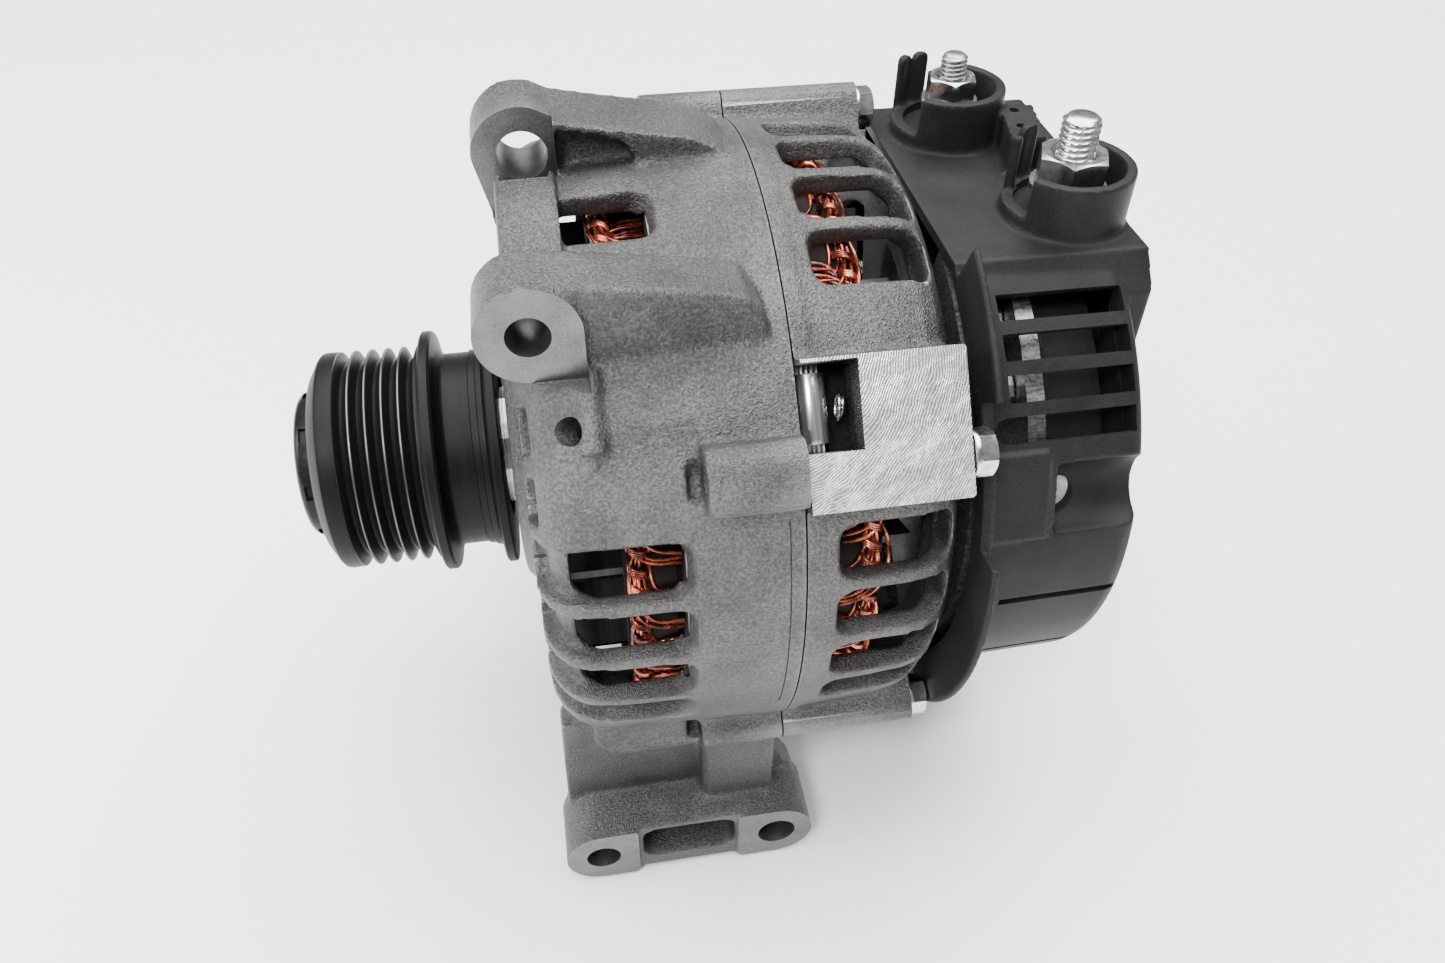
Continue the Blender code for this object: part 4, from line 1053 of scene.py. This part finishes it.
def terminal(prefix, centre, look, radius, pitch, tip, top, flats, nut_low, nut_high, turn):
    """A threaded stud with a square head under the deck, and its hex nut on a washer."""
    x, y = centre
    screw = thread(f"{prefix}_thread", centre, radius, pitch, nut_low - 4, top, tip)
    shank = bar("shank", centre, radius - 0.9, "Z", 43, nut_low - 3.5, 32)
    head = block("head", (x - 4.3, y - 4.3, 41.6), (x + 4.3, y + 4.3, 45))
    stud = gathered(f"{prefix}_threaded_stud", [screw, shank, head])
    place(dress(smooth(stud, 38), look), "zinc_plate", f"{prefix}_stud")
    nut = chamfered_hex(f"{prefix}_hex_nut", centre, flats, nut_low, nut_high, turn)
    fuse(nut, bar("washer", centre, flats / 2 + 1.3, "Z", nut_low - 1.3, nut_low - 0.02, 64))
    bore = bar("bore", centre, radius + 0.12, "Z", nut_low - 3, nut_high + 2)
    sink = stacked("sink", centre, ((nut_high - 0.9, radius + 0.1), (nut_high + 0.05, radius + 1.0)), 48)
    plated(cut(nut, bore, sink), f"{prefix}_nut")


def terminals():
    terminal(
        "battery", BATTERY_STUD, "zinc", radius=3.95, pitch=1.25, tip=2.9, top=79.3,
        flats=13.0, nut_low=65.0, nut_high=71.8, turn=8,
    )
    terminal(
        "signal", SIGNAL_STUD, "dull_zinc", radius=2.95, pitch=1.0, tip=2.0, top=76.4,
        flats=10.0, nut_low=66.4, nut_high=71.6, turn=20,
    )


def bolt_head(name, centre, flats, seat, height, turn):
    """A hex head with a washer face and turned-off corners, along X."""
    head = chamfered_hex("head", (0, 0), flats, 0.7, height, turn)
    fuse(head, bar("collar", (0, 0), flats * 0.58, "Z", 0, 0.9))
    head.name = name
    head.data.transform(shifted(seat, *centre) @ spun(90, "Y"))
    return head


def through_bolts():
    for i, angle in enumerate(BOLT_ANGLES):
        centre = at(0, BOLT_CIRCLE, angle)[1:]
        bolt = bolt_head(f"housing_bolt_{i + 1}", centre, 8.2, 31.5, 4.4, 11 + 17 * i)
        shank = bar("shank", centre, 2.35, "X", -17.0, 32.0, 32)
        fuse(bolt, shank, bar("tip", centre, 1.7, "X", -18.0, -16.5, 32))
        plated(bolt, f"through_bolt_{i + 1}")


def cover_screws():
    for i, angle in enumerate(COVER_SCREWS):
        centre = at(0, COVER_SCREW_CIRCLE, angle)[1:]
        screw = bolt_head(f"cover_nut_{i + 1}", centre, 8.0, COVER_REAR_X + 0.3, 3.8, 9 + 23 * i)
        fuse(screw, bar("shank", centre, 2.3, "X", 34, COVER_REAR_X + 1, 32))
        plated(screw, f"cover_screw_{i + 1}")


# Rear cover


def cover_body():
    front, rear, radius = COVER_FRONT_X, COVER_REAR_X, COVER_RADIUS
    side = [(front, 0), (front, radius), (rear - 3.4, radius - 0.6), (rear - 1.2, radius - 1.4)]
    body = turned("moulded_cover", side + [(rear, radius - 3.4), (rear, 0)])
    cut(body, block("top", (front - 2, -70, DECK_Z), (rear + 2, 70, 80)))
    deck = [(-28.5, DECK_Z), (-34, 51), (-34, 20), (46, 20), (46, 50), (42, DECK_Z)]
    return fuse(body, prism("deck", deck, "X", front, rear + 5))


def cover_cavity():
    front, rear, wall = COVER_FRONT_X, COVER_REAR_X, COVER_WALL
    inner = COVER_RADIUS - wall
    back = [(rear - 4, inner), (rear - wall, inner - 2), (rear - wall, 0)]
    cavity = turned("cavity", [(front - 3, 0), (front - 3, inner), *back])
    under = DECK_Z - wall
    cut(cavity, block("top", (front - 5, -70, under), (rear + 2, 70, 80)))
    deck = [(-27, under), (-31.4, 50), (-31.4, 22.6), (43.4, 22.6), (43.4, 50), (40.5, under)]
    return fuse(cavity, prism("deck", deck, "X", front - 3, rear + 5 - wall))


def cover_flange():
    """Lips round the cover's mouth, each with its radius, start, sweep and depth."""
    front = COVER_FRONT_X
    lips = []
    for outer, start, sweep, depth in ((73.4, -62, 74, 1.6), (66.4, 10, 30, 2.4), (74.8, 38.5, 23, 1.3)):
        edge = [(front, outer - 0.4), (front + 0.4, outer), (front + depth, outer)]
        lips.append(sector("lip", [(front, 60), *edge, (front + depth, 60)], start, sweep, 40))
    return lips


# Stud, outer and inner radius, the wall's two ends, and each leaf's angle, radius and half width
TOWERS = (
    (BATTERY_STUD, 12.9, 10.6, (-150, 62), ((116, 12.4, 11), (148, 11.6, 5))),
    (SIGNAL_STUD, 12.4, 10.0, (-140, 60), ((112, 11.4, 10), (134, 12.4, 9))),
)


def leaf(centre, middle, radius, half):
    """A loose leaf with a round top, standing in the gap of a tower's wall."""
    top = TOWER_RIM_Z + 3.0
    outline = arc(centre, radius + 1.0, middle - half, middle + half, 12)
    outline += arc(centre, radius - 1.0, middle + half, middle - half, 12)
    width = radius * math.radians(half)
    crown = rounded_rectangle((-width + 0.05, DECK_Z - 8), (width - 0.05, top), width * 0.7)
    shape = prism("crown", crown, "Y", -radius - 4, -radius + 4)
    shape.data.transform(shifted(*centre, 0) @ spun(middle + 90, "Z"))
    return combine(prism("leaf", outline, "Z", DECK_Z, top), [shape], "INTERSECT")


def tower(centre, outer, inner, opening, leaves):
    """An open cup round a stud: a base, a wall with a gap, and leaves in the gap."""
    base = bar("tower", centre, outer, "Z", DECK_Z - 1.5, DECK_Z + 3.2, 96)
    start, end = opening
    wall = arc(centre, outer, start, end, 72) + arc(centre, inner, end, start, 72)
    fuse(base, prism("wall", wall, "Z", DECK_Z, TOWER_RIM_Z))
    for middle, radius, half in leaves:
        fuse(base, leaf(centre, middle, radius, half))
    return base


def cover_shell():
    """The hollow cover with its flange, towers, plug and raised panel, before its openings."""
    cover = cover_body()
    fuse(cover, *cover_flange())
    for shape in TOWERS:
        fuse(cover, tower(*shape))
    plug = [(59.2, 5.4), (67.4, 5.0), (70.2, 21.6), (62.4, 22.6)]
    fuse(cover, prism("plug", plug, "Z", DECK_Z - 1, 66.0))
    front = COVER_FRONT_X + 2
    panel = [(front, 60), (front, COVER_RADIUS + 1.0), (51.0, COVER_RADIUS + 0.8), (51.0, 60)]
    fuse(cover, sector("panel", panel, 12, 17, 20))
    recess_centre = at(0, COVER_RADIUS + 1.5, 19.2)[1:]
    hollow = cover_cavity()
    cut(hollow, bar("recess_wall", recess_centre, 10.4, "X", 50.6, 80, 64))
    cut(cover, hollow)
    cut(cover, bar("recess", recess_centre, 8.0, "X", 52.8, 80, 64))
    return soften(cover, 0.55, 3, 170000)


def cover_vents():
    """Slots that run from the cover's side to its back, and two plain grooves."""
    half = COVER_VENT / 2
    tools = []
    for i in range(4):
        outline = rounded_rectangle((39.8, -half), (64, half), 2.6 if i == 0 else 0.4)
        if i:
            outline = [(max(x, 43.2), y) for x, y in outline]
        slot = prism("vent", outline, "Z", 57, 72)
        fuse(slot, block("vent", (50, -half, 57), (COVER_REAR_X - 2.4, half, 72)))
        tools.append(face_clock(slot, 33.0 + 7.35 * i))
    for clock in (-4.0, -28.0):
        groove = block("groove", (44, -0.9, COVER_RADIUS - 1.6), (COVER_REAR_X + 2, 0.9, 70))
        tools.append(face_clock(groove, clock))
    return gathered("openings", tools)


def half_ellipse(x, length, half_width):
    turns = [math.radians(a) for a in range(-90, 91, 10)]
    return [(x + length * math.cos(a), half_width * math.sin(a)) for a in turns]


def regulator_rivet():
    """The pale rivet that shows through the sight hole."""
    rivet = face_clock(prism("regulator_rivet", half_ellipse(55.6, 6.4, 5.6), "Z", 53.0, 54.3), SIGHT_ANGLE)
    place(dress(smooth(rounded(rivet, 0.3)), "pale_plastic"), "black_plastic")


def rear_cover():
    cover = cover_shell()
    cut(cover, cover_vents())
    for centre, _, inner, _, _ in TOWERS:
        cut(cover, bar("cup", centre, inner - 0.1, "Z", DECK_Z + 1.5, DECK_Z + 3.4, 64))
    studs = ((BATTERY_STUD, 4.4), (SIGNAL_STUD, 3.5))
    cut(cover, gathered("stud_holes", [bar("stud_hole", c, r, "Z", 40, 62, 40) for c, r in studs]))
    louvre = rectangle((60, 15), (80, 38))
    open_louvres = [i for i in range(15) if i not in (2, 3, 4)]
    cut(cover, gathered("louvres", [sector("l", louvre, 20 + 24 * i, 9, 4) for i in open_louvres]))
    centres = [at(0, COVER_SCREW_CIRCLE, clock)[1:] for clock in COVER_SCREWS]
    cut(cover, gathered("screws", [bar("screw", c, 2.8, "X", 60, 80, 32) for c in centres]))
    cut(cover, face_clock(prism("sight_hole", half_ellipse(54.6, 4.6, 3.9), "Z", 50, 70), SIGHT_ANGLE))
    regulator_rivet()
    pins = ((64.9, 19.2), (63.6, 11.4))
    cut(cover, gathered("pins", [bar("pin_hole", centre, 1.1, "Z", 60, 70, 24) for centre in pins]))
    dress(weighted(cover, 35), "plastic")
    place(cover, "black_plastic", "rear_cover")


# CAD pieces that keep their shape and get a finish

CARRIED = {
    "dark_steel": ("front_fan", "rear_fan"),
    "steel": (
        *(f"{end}_bearing_{race}_race" for end in ("front", "rear") for race in ("inner", "outer")),
        "front_bearing_balls", "rear_bearing_balls",
        "rotor_shaft", "pulley_hub", "spacer_collar", "one_way_clutch",
    ),
    "forged": ("front_claw_pole", "rear_claw_pole"),
    "zinc": (
        "bearing_retainer_plate",
        *(f"retainer_screw_{i}" for i in range(1, 4)),
        *(f"diode_{i}" for i in range(1, 6)),
    ),
    "copper": ("field_coil",),
    "ring": ("slip_ring_front", "slip_ring_rear"),
    "plastic": (
        "coil_spool", "slip_ring_sleeve", "brush_holder", "voltage_regulator", "diode_terminal_plate",
    ),
    "carbon": ("brush_1", "brush_2"),
    "sheet": ("positive_heat_sink", "negative_heat_sink"),
}


def carried_nodes():
    for look, nodes in CARRIED.items():
        for node in nodes:
            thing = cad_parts[node]
            if not thing.material_slots:
                thing.data.materials.append(None)
            for holder in thing.material_slots:
                holder.link = "OBJECT"
                holder.material = LOOKS[look]


# Floor, light and camera


def stage():
    bpy.ops.mesh.primitive_plane_add(size=6.0, location=(0, 0, cad_box[0][2] - FLOOR_DROP))
    floor = bpy.context.object
    floor.name = "floor"
    paint = Shader("floor_paint", (0.9, 0.9, 0.9), 0.9, Specular_IOR_Level=0.1)
    floor.data.materials.append(paint.material)

    world = bpy.data.worlds.new("studio")
    bpy.context.scene.world = world
    world.use_nodes = True
    sky = world.node_tree.nodes["Background"]
    sky.inputs["Color"].default_value = (1, 1, 1, 1)
    sky.inputs["Strength"].default_value = SKY_STRENGTH

    for name, spot, size, power in LAMPS:
        lamp = bpy.data.lights.new(name, "AREA")
        lamp.size = size
        lamp.energy = power
        holder = linked(name, lamp)
        holder.location = spot
        holder.rotation_euler = (-Vector(spot)).to_track_quat("-Z", "Y").to_euler()


def camera():
    lens = bpy.data.cameras.new("camera")
    lens.sensor_width = 36.0
    lens.lens = 27.93
    lens.clip_start = 0.01
    holder = linked("camera", lens)
    turn = spun(CAMERA_TURN, "Z") @ spun(CAMERA_TILT, "X") @ spun(CAMERA_ROLL, "Z")
    holder.matrix_world = shifted(*CAMERA_AT) @ turn
    bpy.context.scene.camera = holder


drive_end_casting()
slip_ring_end_casting()
stator()
key_plate()
brush_springs()
pulley()
terminals()
through_bolts()
cover_screws()
rear_cover()
carried_nodes()
stage()
camera()
